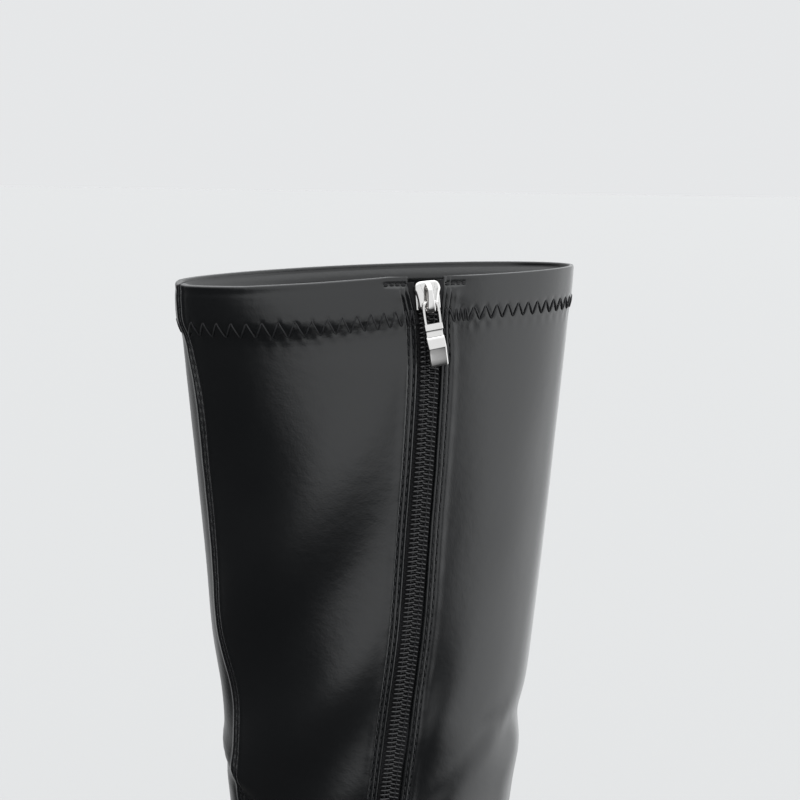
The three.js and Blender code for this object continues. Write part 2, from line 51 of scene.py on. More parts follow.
# %% [markdown]
# ## The last, as numbers
# A boot is lasted: its shape is that of a foot and leg form. Each row is a section of that form, from
# the collar down to the ankle and then forward to the toe, so the sections fan round the ankle. A row
# gives its front and back ends (x, z), its half widths on the inner and outer side, its middle in y,
# where along it the widest place lies, and how full its front and back halves are. The bed is the
# insole's height along the foot, and the zip table is the zip's place as a share of the leg's depth.

# %% Tables of the last, in millimetres
# fx, fz, bx, bz, inner, outer, mid, widest, front, back
LAST = np.array([
    [-76.5, 422.5, 50.5, 427.5, 34, 34, 0, 0.5, 1.75, 1.9],
    [-75.2, 405.5, 49.3, 410, 34.5, 34.5, 0, 0.5, 1.75, 1.9],
    [-71, 358, 45.6, 361, 36, 36, 0, 0.5, 1.75, 1.9],
    [-66.4, 306, 40.8, 308, 36.5, 37, 0, 0.5, 1.78, 1.95],
    [-61.6, 248, 34.6, 247, 36, 36.5, 0, 0.5, 1.8, 2],
    [-58.6, 202, 29.6, 197, 35, 35.5, 0, 0.5, 1.85, 2],
    [-58, 170, 26.2, 154, 34, 35, 0, 0.5, 1.9, 2],
    [-61.5, 145, 26, 113, 34, 34.5, 0, 0.5, 1.9, 2],
    [-68.5, 125, 30.5, 74, 33.5, 34, 0, 0.5, 1.9, 2.1],
    [-77.5, 110, 29.5, 35, 33, 33.5, 0, 0.45, 1.9, 2.4],
    [-87.5, 97, 0, 33, 32.5, 34, 0, 0.4, 1.9, 2.8],
    [-98, 86, -40, 23, 32.5, 36, 0, 0.38, 1.9, 2.8],
    [-110, 75.5, -74, 10, 34.5, 39.5, 0, 0.38, 1.9, 2.9],
    [-123, 65.5, -106, -2, 38.5, 42.5, 0, 0.38, 1.95, 3],
    [-140, 54.5, -134, -6, 40, 43.5, -0.5, 0.4, 2, 3],
    [-162, 43.5, -161, -5.5, 37, 40, -2, 0.42, 2.1, 3],
    [-184, 35.5, -185, -3, 29.5, 32, -4, 0.44, 2.15, 3],
    [-202, 30, -204, 2, 19, 20.5, -5.5, 0.46, 2.15, 2.8],
    [-212, 25, -213, 7, 9, 9.5, -6.3, 0.48, 2.1, 2.4],
    [-215, 20.5, -215.2, 12, 2.6, 2.6, -6.5, 0.5, 2, 2],
])
BED = np.array([[80, 46], [30, 45.6], [5, 44.6], [-20, 41.6], [-50, 31.5], [-80, 18.6], [-105, 8.8],
                [-126, 4.3], [-152, 4.3], [-176, 6.6], [-198, 10.8], [-216, 15.4], [-270, 30]])
ZIP = np.array([[70, 0.51], [120, 0.535], [170, 0.55], [220, 0.541], [262, 0.515], [290, 0.488],
                [315, 0.464], [350, 0.446], [378, 0.433], [400, 0.427], [430, 0.445]])


def through(keys, values, x):
    """Cubic Hermite curve through the table: each row's slope is the mean of the slopes beside it,
    each weighted by the other's length, and nil where they differ in sign."""
    if keys[-1] < keys[0]:
        keys, values = keys[::-1], values[::-1]
    span = np.diff(keys)
    slope = np.diff(values) / span
    mean = (slope[:-1] * span[1:] + slope[1:] * span[:-1]) / (span[:-1] + span[1:])
    inner = np.where(slope[:-1] * slope[1:] <= 0, 0, mean)
    tangent = np.concatenate([slope[:1], inner, slope[-1:]])
    x = np.asarray(x, float)
    i = np.clip(np.searchsorted(keys, x, side="right") - 1, 0, len(span) - 1)
    t = np.clip((x - keys[i]) / span[i], 0, 1)
    return (values[i] * (2 * t**3 - 3 * t**2 + 1) + tangent[i] * span[i] * (t**3 - 2 * t**2 + t)
            + values[i + 1] * (3 * t**2 - 2 * t**3) + tangent[i + 1] * span[i] * (t**3 - t**2))


middles = (LAST[:, 0:2] + LAST[:, 2:4]) / 2
LAST_KEYS = np.concatenate([[0], np.cumsum(np.hypot(*np.diff(middles, axis=0).T))])
LAST_LENGTH = LAST_KEYS[-1]
print("the last is", round(LAST_LENGTH), "mm long from collar to toe along its middle")

# %% [markdown]
# ## The upper's surface
# The surface is a function of two parameters. The distance runs down the leg and along the foot, and
# the turn runs round the section: nought at the front, a quarter turn on the inner (zip) side and half
# a turn at the back. Moving a point out along the surface's normal gives padding, seams and folds.


# %% The surface and its normal
def last_point(distance, turn):
    """Superellipse section: share along the section from the powers of the cosine, half width from
    the power of the sine, with its own fullness in the front and back halves."""
    row = [through(LAST_KEYS, LAST[:, k], distance) for k in range(10)]
    fx, fz, bx, bz, inner, outer, mid, widest, front, back = row
    c, s = np.cos(turn), np.sin(turn)
    power = 2 / np.where(c >= 0, front, back)
    reach = np.abs(c) ** power
    share = np.where(c >= 0, widest + (1 - widest) * reach, widest * (1 - reach))
    y = mid + np.where(s >= 0, -inner, outer) * np.abs(s) ** power
    return np.stack([bx + share * (fx - bx), y, bz + share * (fz - bz)], -1)


def unit(v):
    """Vectors made one long."""
    return v / np.linalg.norm(v, axis=-1, keepdims=True)


def last_normal(distance, turn):
    """Outward direction: the way along crossed with the way round, from small steps each way."""
    low, high = np.maximum(distance - 0.4, 0), np.minimum(distance + 0.4, LAST_LENGTH)
    along = last_point(high, turn) - last_point(low, turn)
    around = last_point(distance, turn + 0.04) - last_point(distance, turn - 0.04)
    return unit(np.cross(along, around))


def skin(distance, turn, offset):
    """Surface point moved out along the normal; above the rim the surface runs straight on."""
    distance, turn, offset = np.broadcast_arrays(distance, turn, offset)
    on_last = np.maximum(distance, 0)
    past = np.maximum(-distance, 0)[..., None]
    upward = unit(last_point(0.0, turn) - last_point(2.0, turn))
    return (last_point(on_last, turn) + last_normal(on_last, turn) * offset[..., None] + upward * past)


# %% [markdown]
# ## Measuring round the leg
# Seams and stitches are laid out with a tape measure, not in degrees. So a table holds, for each
# millimetre down the last, the turn reached at each half millimetre round it. Places are then given
# as girth: millimetres round the leg from the middle of the front, towards the zip side.

# %% Girth tables
TURNS = np.linspace(-0.5, 2 * np.pi + 0.5, 2400)
DEPTHS = np.arange(0, np.floor(LAST_LENGTH), 1.0)
GIRTH_STEP = 0.5
GIRTHS = np.arange(-16, 330, GIRTH_STEP)


def girth_rows():
    """Length round the section at each turn: the running sum of the steps, nil at the front."""
    points = last_point(DEPTHS[:, None], TURNS[None, :])
    steps = np.linalg.norm(np.diff(points, axis=1), axis=2)
    total = np.concatenate([np.zeros((len(DEPTHS), 1)), np.cumsum(steps, axis=1)], axis=1)
    at_front = np.array([np.interp(0, TURNS, row) for row in total])
    return total - at_front[:, None]


GIRTH_AT_TURN = girth_rows()
TURN_AT_GIRTH = np.array([np.interp(GIRTHS, row, TURNS) for row in GIRTH_AT_TURN])
BACK_GIRTH = np.array([np.interp(np.pi, TURNS, row) for row in GIRTH_AT_TURN])
WHOLE_GIRTH = np.array([np.interp(2 * np.pi, TURNS, row) for row in GIRTH_AT_TURN])


def turn_of(distance, girth):
    """Turn at a girth: straight-line mixing of the four nearest table values."""
    d = np.clip(distance, 0, len(DEPTHS) - 1.001)
    g = np.clip((girth - GIRTHS[0]) / GIRTH_STEP, 0, len(GIRTHS) - 1.001)
    i, j = np.floor(d).astype(int), np.floor(g).astype(int)
    a, b = d - i, g - j
    upper = TURN_AT_GIRTH[i, j] * (1 - b) + TURN_AT_GIRTH[i, j + 1] * b
    lower = TURN_AT_GIRTH[i + 1, j] * (1 - b) + TURN_AT_GIRTH[i + 1, j + 1] * b
    return upper * (1 - a) + lower * a


def back_line(distance):
    """Girth of the middle of the back at a distance."""
    return np.interp(distance, DEPTHS, BACK_GIRTH)


def whole_line(distance):
    """Girth all the way round at a distance."""
    return np.interp(distance, DEPTHS, WHOLE_GIRTH)


print("girth at the collar %.0f mm, at the ankle %.0f mm" % (WHOLE_GIRTH[0], WHOLE_GIRTH[300]))

# %% [markdown]
# ## Where the zip runs
# The zip climbs the inner side from above the ankle to the rim. At each height its share of the leg's
# depth gives a point of the surface, found by halving the interval. Four directions follow it: the
# point, outwards, down along it, and across it towards the heel. The slider hangs on the same axes.


# %% The zip's line
def zip_place(z):
    """Distance and turn where the zip's line meets a height, by halving the interval."""
    share = through(ZIP[:, 0], ZIP[:, 1], z)
    low, high = np.zeros_like(share), np.full_like(share, LAST_LENGTH * 0.62)
    for _ in range(40):
        middle = (low + high) / 2
        widest, front, back = [through(LAST_KEYS, LAST[:, k], middle) for k in (7, 8, 9)]
        below = share < widest
        reach = np.where(below, 1 - share / widest, (share - widest) / (1 - widest))
        c = reach ** (np.where(below, back, front) / 2)
        turn = np.arccos(np.where(below, -c, c))
        higher = last_point(middle, turn)[..., 2] > z
        low, high = np.where(higher, middle, low), np.where(higher, high, middle)
    return (low + high) / 2, turn


rim_turn = zip_place(np.array([LAST[0, 3]]))[1]
RIM_Z = last_point(0.0, rim_turn[0])[2]
TOP_STRAIGHT = 4
ZIP_BOTTOM = 92


def zip_axes(z):
    """Point, out, down and across on the zip's line; past the rim the line runs straight on."""
    z = np.atleast_1d(np.asarray(z, float))
    height = np.minimum(z, RIM_Z - TOP_STRAIGHT)
    distance, turn = zip_place(height)
    origin = last_point(distance, turn)
    out = last_normal(distance, turn)
    down = unit(last_point(*zip_place(height - 2)) - origin)
    across = unit(np.cross(out, down))
    down = unit(np.cross(across, out))
    return origin + down * (height - z)[:, None], out, down, across


ZIP_HEIGHTS = np.linspace(80, RIM_Z - 0.5, 140)
zip_distances, zip_turns = zip_place(ZIP_HEIGHTS)
zip_girths = np.array([np.interp(t, TURNS, GIRTH_AT_TURN[int(round(d))])
                       for d, t in zip(zip_distances, zip_turns)])


def zip_line(distance):
    """Girth of the zip's middle at a distance."""
    return np.interp(distance, zip_distances[::-1], zip_girths[::-1])


SLOT_HALF, SLOT_HALF_AT_RIM, SLOT_FLARE = 3.6, 5.4, 15


def slot_half(distance):
    """Half the gap between the leather's edges: even below, opening in a smooth S to the rim."""
    t = np.clip(1 - distance / SLOT_FLARE, 0, 1)
    return SLOT_HALF + (SLOT_HALF_AT_RIM - SLOT_HALF) * t * t * (3 - 2 * t)


ANKLE_SEAM = float(zip_place(np.array([88.5]))[0][0])
print("zip from %.0f mm to the rim at %.0f mm; ankle seam %.0f mm down" % (ZIP_BOTTOM, RIM_Z, ANKLE_SEAM))

# %% [markdown]
# ## Meshes from grids
# Every soft piece here is a grid of points. A leather panel is one long grid folded over: it comes up
# on the inside, rolls over the rim and goes down on the outside. Its two side edges and its bottom are
# then closed, so the panel is a real sheet with thickness. The volume's sign says which way it faces.


# %% Mesh helpers
def grid_faces(rows, columns, closed_rows=False, closed_columns=False):
    """Quads of a grid whose points are numbered row by row; either way may close on itself."""
    r = np.arange(rows if closed_rows else rows - 1)[:, None]
    c = np.arange(columns if closed_columns else columns - 1)[None, :]
    r2, c2 = (r + 1) % rows, (c + 1) % columns
    quad = [r * columns + c, r * columns + c2, r2 * columns + c2, r2 * columns + c]
    return np.stack(np.broadcast_arrays(*quad), -1).reshape(-1, 4)


def volume(points, faces):
    """Signed volume: a sixth of the sum of the triple products of each face's triangles."""
    p = points[faces]
    total = np.einsum("ij,ij->i", p[:, 0], np.cross(p[:, 1], p[:, 2])).sum()
    if faces.shape[1] == 4:
        total += np.einsum("ij,ij->i", p[:, 0], np.cross(p[:, 2], p[:, 3])).sum()
    return total / 6


PIECES = []


def add_piece(name, points, face_sets, material, body, nodes=(), sharp=40):
    """A mesh object at the origin from points in millimetres and lists of faces."""
    points = np.asarray(points, float).reshape(-1, 3)
    face_sets = [np.asarray(f, int) for f in face_sets if len(f)]
    if sum(volume(points, f) for f in face_sets) < 0:
        face_sets = [f[:, ::-1] for f in face_sets]
    sizes = np.concatenate([np.full(len(f), f.shape[1]) for f in face_sets])
    corners = np.concatenate([f.ravel() for f in face_sets])
    mesh = bpy.data.meshes.new(name)
    mesh.vertices.add(len(points))
    mesh.vertices.foreach_set("co", (points * MM).ravel())
    mesh.loops.add(len(corners))
    mesh.loops.foreach_set("vertex_index", corners)
    mesh.polygons.add(len(sizes))
    mesh.polygons.foreach_set("loop_start", np.concatenate([[0], np.cumsum(sizes)[:-1]]))
    mesh.polygons.foreach_set("use_smooth", np.ones(len(sizes), bool))
    mesh.update(calc_edges=True)
    mesh.validate()
    mesh.set_sharp_from_angle(angle=math.radians(sharp))
    obj = bpy.data.objects.new(name, mesh)
    bpy.context.scene.collection.objects.link(obj)
    obj.data.materials.append(material)
    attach(obj, body)
    if nodes:
        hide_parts(*nodes)
    PIECES.append(obj)
    triangles = int((sizes - 2).sum())
    print("%-20s %6d triangles" % (name, triangles))
    return obj


def folded_shell(grid):
    """Faces that close a folded grid: row r lies over row last-r, so side edges and ends are joined."""
    rows, columns = grid.shape[:2]
    half = rows // 2
    r = np.arange(half - 1)
    left = np.stack([r * columns, (r + 1) * columns,
                     (rows - 2 - r) * columns, (rows - 1 - r) * columns], -1)
    right = left[:, ::-1] + columns - 1
    c = np.arange(columns - 1)
    last = (rows - 1) * columns
    bottom = np.stack([c + 1, c, last + c, last + c + 1], -1)
    return np.concatenate([grid_faces(rows, columns), left, right, bottom])


def bell(x, width):
    """Smooth bump, one high at nought and falling away over the width."""
    return np.exp(-(x / width) ** 2)


def smoothstep(x, low, high):
    """S-shaped rise from nought at low to one at high."""
    t = np.clip((x - low) / (high - low), 0, 1)
    return t * t * (3 - 2 * t)


def squared(wave, power):
    """Cosine or sine with its size raised to a power and its sign kept; a low power is squarer."""
    return np.sign(wave) * np.abs(wave) ** power

# %% [markdown]
# ## Finishes
# Each finish is one shader fed by small patterns on the object's own coordinates, so it holds for any
# view. The upper is smooth coated leather: nearly black, with a satin gloss that drifts a little and
# the finest grain. A helper makes the shader, and each finish then says only what is its own.


# %% A helper for finishes
def new_finish(name, dark, light, drift, rough, grains, metallic=0.0, specular=0.5, coat=0.0,
               coat_rough=0.15, sheen=0.0):
    """Colour mixes from dark to light and roughness between two values by a cloud pattern of the
    given size in mm; each grain (kind, size in mm, height in mm) is a bump over the last."""
    material = bpy.data.materials.new(name)
    material.use_nodes = True
    nodes, links = material.node_tree.nodes, material.node_tree.links
    shader = nodes["Principled BSDF"]
    place = nodes.new("ShaderNodeTexCoord")
    cloud = nodes.new("ShaderNodeTexNoise")
    cloud.inputs["Scale"].default_value = 1 / (drift * MM)
    cloud.inputs["Detail"].default_value = 3
    links.new(place.outputs["Object"], cloud.inputs["Vector"])
    mix = nodes.new("ShaderNodeMix")
    mix.data_type = "RGBA"
    mix.inputs["A"].default_value = (*dark, 1)
    mix.inputs["B"].default_value = (*light, 1)
    links.new(cloud.outputs["Fac"], mix.inputs["Factor"])
    links.new(mix.outputs["Result"], shader.inputs["Base Color"])
    gloss = nodes.new("ShaderNodeMapRange")
    gloss.inputs["From Min"].default_value = 0.3
    gloss.inputs["From Max"].default_value = 0.7
    gloss.inputs["To Min"].default_value = rough[0]
    gloss.inputs["To Max"].default_value = rough[1]
    links.new(cloud.outputs["Fac"], gloss.inputs["Value"])
    links.new(gloss.outputs["Result"], shader.inputs["Roughness"])
    before = None
    for kind, size, height in grains:
        pattern = nodes.new("ShaderNodeTexVoronoi" if kind == "cells" else
                            "ShaderNodeTexWave" if kind == "ribs" else "ShaderNodeTexNoise")
        pattern.inputs["Scale"].default_value = 1 / (size * MM)
        links.new(place.outputs["Object"], pattern.inputs["Vector"])
        bump = nodes.new("ShaderNodeBump")
        bump.inputs["Strength"].default_value = 1.0
        bump.inputs["Distance"].default_value = height * MM
        links.new(pattern.outputs["Distance" if kind == "cells" else "Fac"], bump.inputs["Height"])
        if before is not None:
            links.new(before.outputs["Normal"], bump.inputs["Normal"])
        before = bump
    if before is not None:
        links.new(before.outputs["Normal"], shader.inputs["Normal"])
    shader.inputs["Metallic"].default_value = metallic
    shader.inputs["Specular IOR Level"].default_value = specular
    shader.inputs["Coat Weight"].default_value = coat
    shader.inputs["Coat Roughness"].default_value = coat_rough
    shader.inputs["Sheen Weight"].default_value = sheen
    return material


# %% The finishes
LEATHER = new_finish("coated_leather", (0.0035, 0.004, 0.0046), (0.0058, 0.0062, 0.0068), 30,
                     (0.2, 0.26), [("cells", 0.55, 0.012), ("noise", 3.0, 0.05)],
                     specular=0.55, coat=0.1, coat_rough=0.16)
LINING = new_finish("lining_cloth", (0.008, 0.008, 0.009), (0.016, 0.016, 0.018), 6,
                    (0.8, 0.95), [("cells", 0.5, 0.08)], specular=0.2, sheen=0.2)
THREAD = new_finish("sewing_thread", (0.006, 0.006, 0.007), (0.014, 0.014, 0.016), 2,
                    (0.45, 0.6), [("noise", 0.25, 0.04)], specular=0.4)
TAPE = new_finish("zip_tape_weave", (0.006, 0.006, 0.007), (0.014, 0.014, 0.015), 2,
                  (0.7, 0.85), [("cells", 0.4, 0.1)], specular=0.3)
NYLON = new_finish("zip_coil_nylon", (0.008, 0.008, 0.009), (0.012, 0.012, 0.013), 3,
                   (0.2, 0.3), [], specular=0.6)
NICKEL = new_finish("polished_nickel", (0.62, 0.61, 0.6), (0.72, 0.71, 0.7), 6,
                    (0.08, 0.16), [("noise", 1.5, 0.006)], metallic=1.0)
RUBBER = new_finish("sole_rubber", (0.009, 0.009, 0.009), (0.016, 0.016, 0.016), 10,
                    (0.55, 0.7), [("noise", 0.8, 0.05)], specular=0.4)
SOCK = new_finish("insole_sock", (0.02, 0.02, 0.021), (0.032, 0.031, 0.031), 8,
                  (0.6, 0.75), [("cells", 0.8, 0.05)], specular=0.3)
print(len(bpy.data.materials), "materials")

# %% [markdown]
# ## Folds and the hem
# Leather that has been folded in a box keeps long soft bands, which show as shine. Each is a ridge or a
# trough between two places on the leg, given as distance down and girth round. The collar is turned in
# over a padded tape, so it swells out, most of all at the front, and steps in under its zigzag seam.

# %% Folds, in millimetres: distance and girth of both ends, half width, height
FOLDS = np.array([
    [28, 74, 106, 18, 13, 1.9],
    [74, 74, 134, 14, 12, -1.9],
    [104, 74, 160, 16, 10, 1.4],
    [127, 74, 176, 18, 8, -1.2],
    [143, 75, 192, 18, 8, 1.3],
    [86, 110, 134, 80, 11, 0.8],
    [60, 128, 112, 96, 12, -0.5],
    [146, 100, 162, 78, 5, -0.8],
    [152, 102, 170, 80, 6, 0.6],
    [149, 116, 146, 158, 8, -1.5],
    [160, 122, 158, 160, 8, 0.7],
    [153, -6, 163, 15, 3.4, 0.9],
    [159, -4, 169, 15, 3, -0.6],
    [176, 90, 205, 112, 8, 0.5],
    [228, 10, 236, 58, 8, -0.6],
    [246, -34, 250, 34, 8, 0.9],
    [258, -30, 262, 44, 6, -0.8],
    [270, -38, 272, 36, 7, 0.9],
    [282, -30, 284, 30, 5, -0.7],
    [236, 108, 256, 84, 7, 0.7],
    [60, 200, 130, 250, 12, 0.9],
    [96, 180, 168, 236, 12, -0.7],
    [150, 196, 196, 262, 10, 0.8],
    [190, 180, 236, 230, 10, 0.6],
])


def folds(distance, girth):
    """Sum of the folds: a bell across the line between the ends, fading past them."""
    total = np.zeros(np.broadcast(distance, girth).shape)
    for d0, g0, d1, g1, width, height in FOLDS:
        length = math.hypot(d1 - d0, g1 - g0)
        ad, ag = (d1 - d0) / length, (g1 - g0) / length
        for shift in (0, 1):
            wide = girth - shift * whole_line(distance)
            along = (distance - d0) * ad + (wide - g0) * ag
            aside = (distance - d0) * ag - (wide - g0) * ad
            past = np.maximum(0, np.maximum(-along, along - length))
            total += height * bell(aside, width) * bell(past, 1.5 * width)
    return total


# girth, distance of the upper corners, distance of the lower corners
ZIG_DEPTHS = np.array([[0, 11.4, 16.4], [48, 11.1, 16.2], [70, 9.8, 15.0], [84, 9.4, 13.9],
                       [110, 9.0, 13.3], [152, 9.2, 13.6], [230, 10.6, 15.4], [320, 11.4, 16.4]])
ZIG_MIDDLE = 13.5


def zig_top(girth):
    """Distance of the zigzag's upper corners at a girth."""
    return np.interp(girth, ZIG_DEPTHS[:, 0], ZIG_DEPTHS[:, 1])


def zig_low(girth):
    """Distance of the zigzag's lower corners at a girth."""
    return np.interp(girth, ZIG_DEPTHS[:, 0], ZIG_DEPTHS[:, 2])


HEM_CURVE = np.array([[0, 0.4], [1.2, 0.62], [2.4, 0.6], [3.6, 0.78], [6, 0.94], [9, 1.04], [12, 1.06],
                      [13.6, 0.9], [15.6, 0.5], [17.6, 0.18], [19.6, 0.04], [23, 0]])
HEM_INSIDE = 2.9
HEM_END = 15.5
SHEET = 1.0


# girth, rise of the rim
RIM_RISE = np.array([[-8, -0.3], [0, -0.4], [8, -1.2], [30, -1.0], [52, 0.0], [73, 1.1], [84, 0.75],
                     [112, 0.4], [150, 0.1], [200, 0], [296, -0.3], [304, -0.4], [312, -1.2]])


def place(distance, girth, offset):
    """Point at a distance and girth, moved out; the rim's rise lifts it, and fades down the hem."""
    distance, girth, offset = np.broadcast_arrays(distance, girth, offset)
    rise = np.interp(girth, RIM_RISE[:, 0], RIM_RISE[:, 1]) * (1 - smoothstep(distance, 3, 30))
    return skin(distance - rise, turn_of(distance, girth), offset)


def front_share(distance, girth):
    """One at the front of the leg and nought at the back."""
    return 0.5 + 0.5 * np.cos(2 * np.pi * girth / whole_line(distance))


def hem(distance, girth):
    """Hem's swell: the curve down the leg, strongest at the front."""
    swell = np.interp(distance * 17 / zig_low(girth), HEM_CURVE[:, 0], HEM_CURVE[:, 1])
    return swell * (0.32 + 1.03 * front_share(distance, girth))


print(len(FOLDS), "folds")

# %% [markdown]
# ## The panels' layout
# Three panels make the leg: one from the front seam to the zip, one from the zip to the back seam, and
# one round the outer side. A seam draws both sheets in along its stitches and leaves a ridge between. By
# the zip the edge is turned under: it rolls over, and two rows of stitches each press a groove.

# %% Panel edges
FRONT_SEAM = np.array([[0, 4.4], [12, 5.2], [22, 7.2], [32, 9.2], [60, 9.8], [109, 10.3], [136, 11.5],
                       [170, 12], [230, 11], [320, 8]])


def front_seam(distance):
    """Girth of the front seam at a distance."""
    return through(FRONT_SEAM[:, 0], FRONT_SEAM[:, 1], distance)


PANELS = {
    "front": dict(left=front_seam, right=lambda d: zip_line(d) - slot_half(d), kinds=("seam", "zip")),
    "back": dict(left=lambda d: zip_line(d) + slot_half(d), right=back_line, kinds=("zip", "seam")),
    "outer": dict(left=back_line, right=lambda d: whole_line(d) + front_seam(d),
                  kinds=("seam", "seam")),
}


SEAM_ROW = 0.78
ZIP_ROWS = (1.3, 2.7)


def seam_relief(x):
    """Sewn seam: a low ridge on the join, a groove 0.75 mm off it, and the sheet's roll beyond."""
    return 0.1 * bell(x, 0.3) - 0.42 * bell(x - SEAM_ROW, 0.27) + 0.22 * bell(x - 1.75, 0.75)


def zip_relief(x, rows, soft):
    """Turned edge: it rolls down at the edge, with grooves at 1.3 and 2.7 mm and puffy ridges; the
    rows' strength fades above the tacks, and softness makes the puffs uneven."""
    roll = 0.6 * (np.sqrt(1 - (1 - np.clip(x / 0.6, 0, 1)) ** 2) - 1)
    ridges = 0.2 * bell(x - 0.7, 0.4) + 0.17 * bell(x - 2.0, 0.45) + 0.2 * bell(x - 3.8, 1.1)
    grooves = (0.4, 0.26), (0.36, 0.28)
    rows_cut = [depth * bell(x - row, wide) for row, (depth, wide) in zip(ZIP_ROWS, grooves)]
    return roll + (ridges * soft - rows_cut[0] - rows_cut[1]) * rows


def zig_nodes(panel):
    """Girths of the zigzag's corners: half pitches laid off from the zip's edge, or from the seam."""
    left, right = PANELS[panel]["left"](ZIG_MIDDLE), PANELS[panel]["right"](ZIG_MIDDLE)
    if panel == "front":
        halves = [0.85] * 2 + [1.15] * 2 + [1.65] * 2 + [1.8] * 2 + [1.95] * 2 + [2.1] * 4 + [2.3] * 4
        halves += [2.5] * 40
        places = right - 0.6 - np.concatenate([[0], np.cumsum(halves)])
        return places[places > left + 0.8][::-1]
    halves = [1.8, 1.8] + [0.75] * 6 + [2.0] * 60 if panel == "back" else [2.5] * 90
    places = left + 0.8 + np.concatenate([[0], np.cumsum(halves)])
    return places[places < right - 0.8]


ZIG_NODES = {panel: zig_nodes(panel) for panel in PANELS}


def zigzag_relief(panel, distance, girth):
    """Groove under the zigzag: distance to the zigzag line, which runs between two depths as the
    corner count goes up, and a small pucker that follows the corners below it."""
    nodes = ZIG_NODES[panel]
    count = np.interp(girth, nodes, np.arange(len(nodes)))
    swing = np.abs((count % 2) - 1)
    top, low = zig_top(girth), zig_low(girth)
    line = top + (low - top) * swing
    inside = (girth > nodes[0]) & (girth < nodes[-1]) & (distance > top - 1) & (distance < low + 1)
    groove = -0.22 * bell((distance - line) * 0.46, 0.36) * inside
    pucker = 0.06 * np.cos(np.pi * count) * bell(distance - low - 0.9, 1.8)
    return groove + pucker


TACK_DEPTH, TACK_LENGTH = 2.3, 7.0


def uneven(distance, girth):
    """Slow waves of about one high, so that no seam is ruled."""
    return (0.5 * np.sin(distance * 0.61 + girth * 0.2) + 0.3 * np.sin(distance * 1.37 + 1.3)
            + 0.3 * np.sin(distance * 0.23 + girth * 0.5 + 2.1))


def leg_folds(distance, girth):
    """The folds, calmed under the hem, above the ankle seam and beside the zip."""
    calm = smoothstep(distance, 17, 26) * (1 - smoothstep(distance, ANKLE_SEAM - 14, ANKLE_SEAM - 2))
    beside_zip = bell(girth - zip_line(distance), 14)
    return folds(distance, girth) * calm * (1 - 0.92 * beside_zip)


def outer_offset(panel, distance, girth):
    """How far the panel's outer face stands off the last: hem, edges, zigzag and folds together."""
    spec = PANELS[panel]
    x_left, x_right = girth - spec["left"](distance), spec["right"](distance) - girth
    flat = 1.0
    offset = np.zeros(np.broadcast(distance, girth).shape)
    for x, kind in ((x_left, spec["kinds"][0]), (x_right, spec["kinds"][1])):
        if kind == "zip":
            below_tacks = smoothstep(distance, TACK_DEPTH, TACK_DEPTH + 4)
            soft = 1 + 0.3 * uneven(distance, girth)
            offset = offset + zip_relief(x, 0.25 + 0.75 * below_tacks, soft)
            tack = bell(distance - TACK_DEPTH, 0.8) * smoothstep(x, 0.2, 0.9) \
                * (1 - smoothstep(x, TACK_LENGTH, TACK_LENGTH + 1))
            offset = offset - 0.55 * tack + 0.25 * bell(distance - TACK_DEPTH - 3.2, 1.6) * bell(x - 3, 4)
            flat = flat * (1 - 0.35 * bell(x, 6))
        else:
            offset = offset + seam_relief(x) * (1 + 0.25 * uneven(distance, girth))
    return (offset + hem(distance, girth) * flat + zigzag_relief(panel, distance, girth)
            + leg_folds(distance, girth))


def hem_inside(panel, distance, girth):
    """Depth of the panel's inner face: a thick padded hem, then one sheet; thinner beside the zip."""
    spec = PANELS[panel]
    thick = HEM_INSIDE
    for x, kind in ((girth - spec["left"](distance), spec["kinds"][0]),
                    (spec["right"](distance) - girth, spec["kinds"][1])):
        if kind == "zip":
            thick = thick - 1.1 * bell(x, 6)
    thick = thick - 2.2 * (1 - smoothstep(distance, -1, 5.5))
    share = 1 - smoothstep(distance, HEM_END - 0.6, HEM_END + 0.6)
    return SHEET + (thick - SHEET) * share - leg_folds(distance, girth)


# %% Panel meshes
RIM_ROLL = 1.5
RIM_STEPS = 16


def panel_columns(left, right, fine, coarse):
    """Girths across a panel: close together near both edges, wider between."""
    near = np.array([0, 0.12, 0.28, 0.5, 0.75, 1, 1.25, 1.5, 1.75, 2, 2.25, 2.5, 2.75, 3.05, 3.4, 3.8,
                     4.3, 4.9, 5.6]) * fine
    middle = int(np.ceil((np.max(right - left) - 2 * near[-1]) / coarse))
    share = np.linspace(0, 1, middle + 1)[None, 1:-1]
    start, end = left + near[-1], right - near[-1]
    return np.concatenate([left + near[None, :], start + (end - start) * share,
                           (right - near[None, :])[:, ::-1]], axis=1)


def panel_grid(panel, rows, coarse):
    """Folded grid: inner face from the bottom up, a superellipse roll over the rim with a slight
    hollow along its top, and the outer face down to the bottom."""
    spec = PANELS[panel]
    d = rows[:, None]
    girth = panel_columns(spec["left"](d), spec["right"](d), 1.0, coarse)
    face = place(d, girth, outer_offset(panel, d, girth))
    back = place(d, girth, -hem_inside(panel, d, girth))
    top = girth[0]
    high = outer_offset(panel, rows[0], top)
    deep = -hem_inside(panel, rows[0], top)
    angle = np.linspace(0, np.pi, RIM_STEPS + 2)[1:-1, None]
    middle, half = (high + deep) / 2, (high - deep) / 2
    across = squared(np.cos(angle), 0.62)
    rise = np.abs(np.sin(angle)) ** 0.62 - 0.16 * bell(across + 0.05, 0.4)
    roll = place(rows[0], top[None, :], middle - half * across)
    turn = turn_of(rows[0], top)
    upward = unit(last_point(0.0, turn) - last_point(2.0, turn))
    roll = roll + upward * (rows[0] * rise)[..., None]
    return np.concatenate([back[::-1], roll, face])


def panel_rows(step):
    """Distances down a panel: close in the hem, then even to just past the ankle seam."""
    hem_rows = np.arange(RIM_ROLL, 18.6, 0.55)
    soft = np.arange(19.2, 26, 1.0)
    return np.concatenate([hem_rows, soft, np.arange(26.8, ANKLE_SEAM + 4, step)])


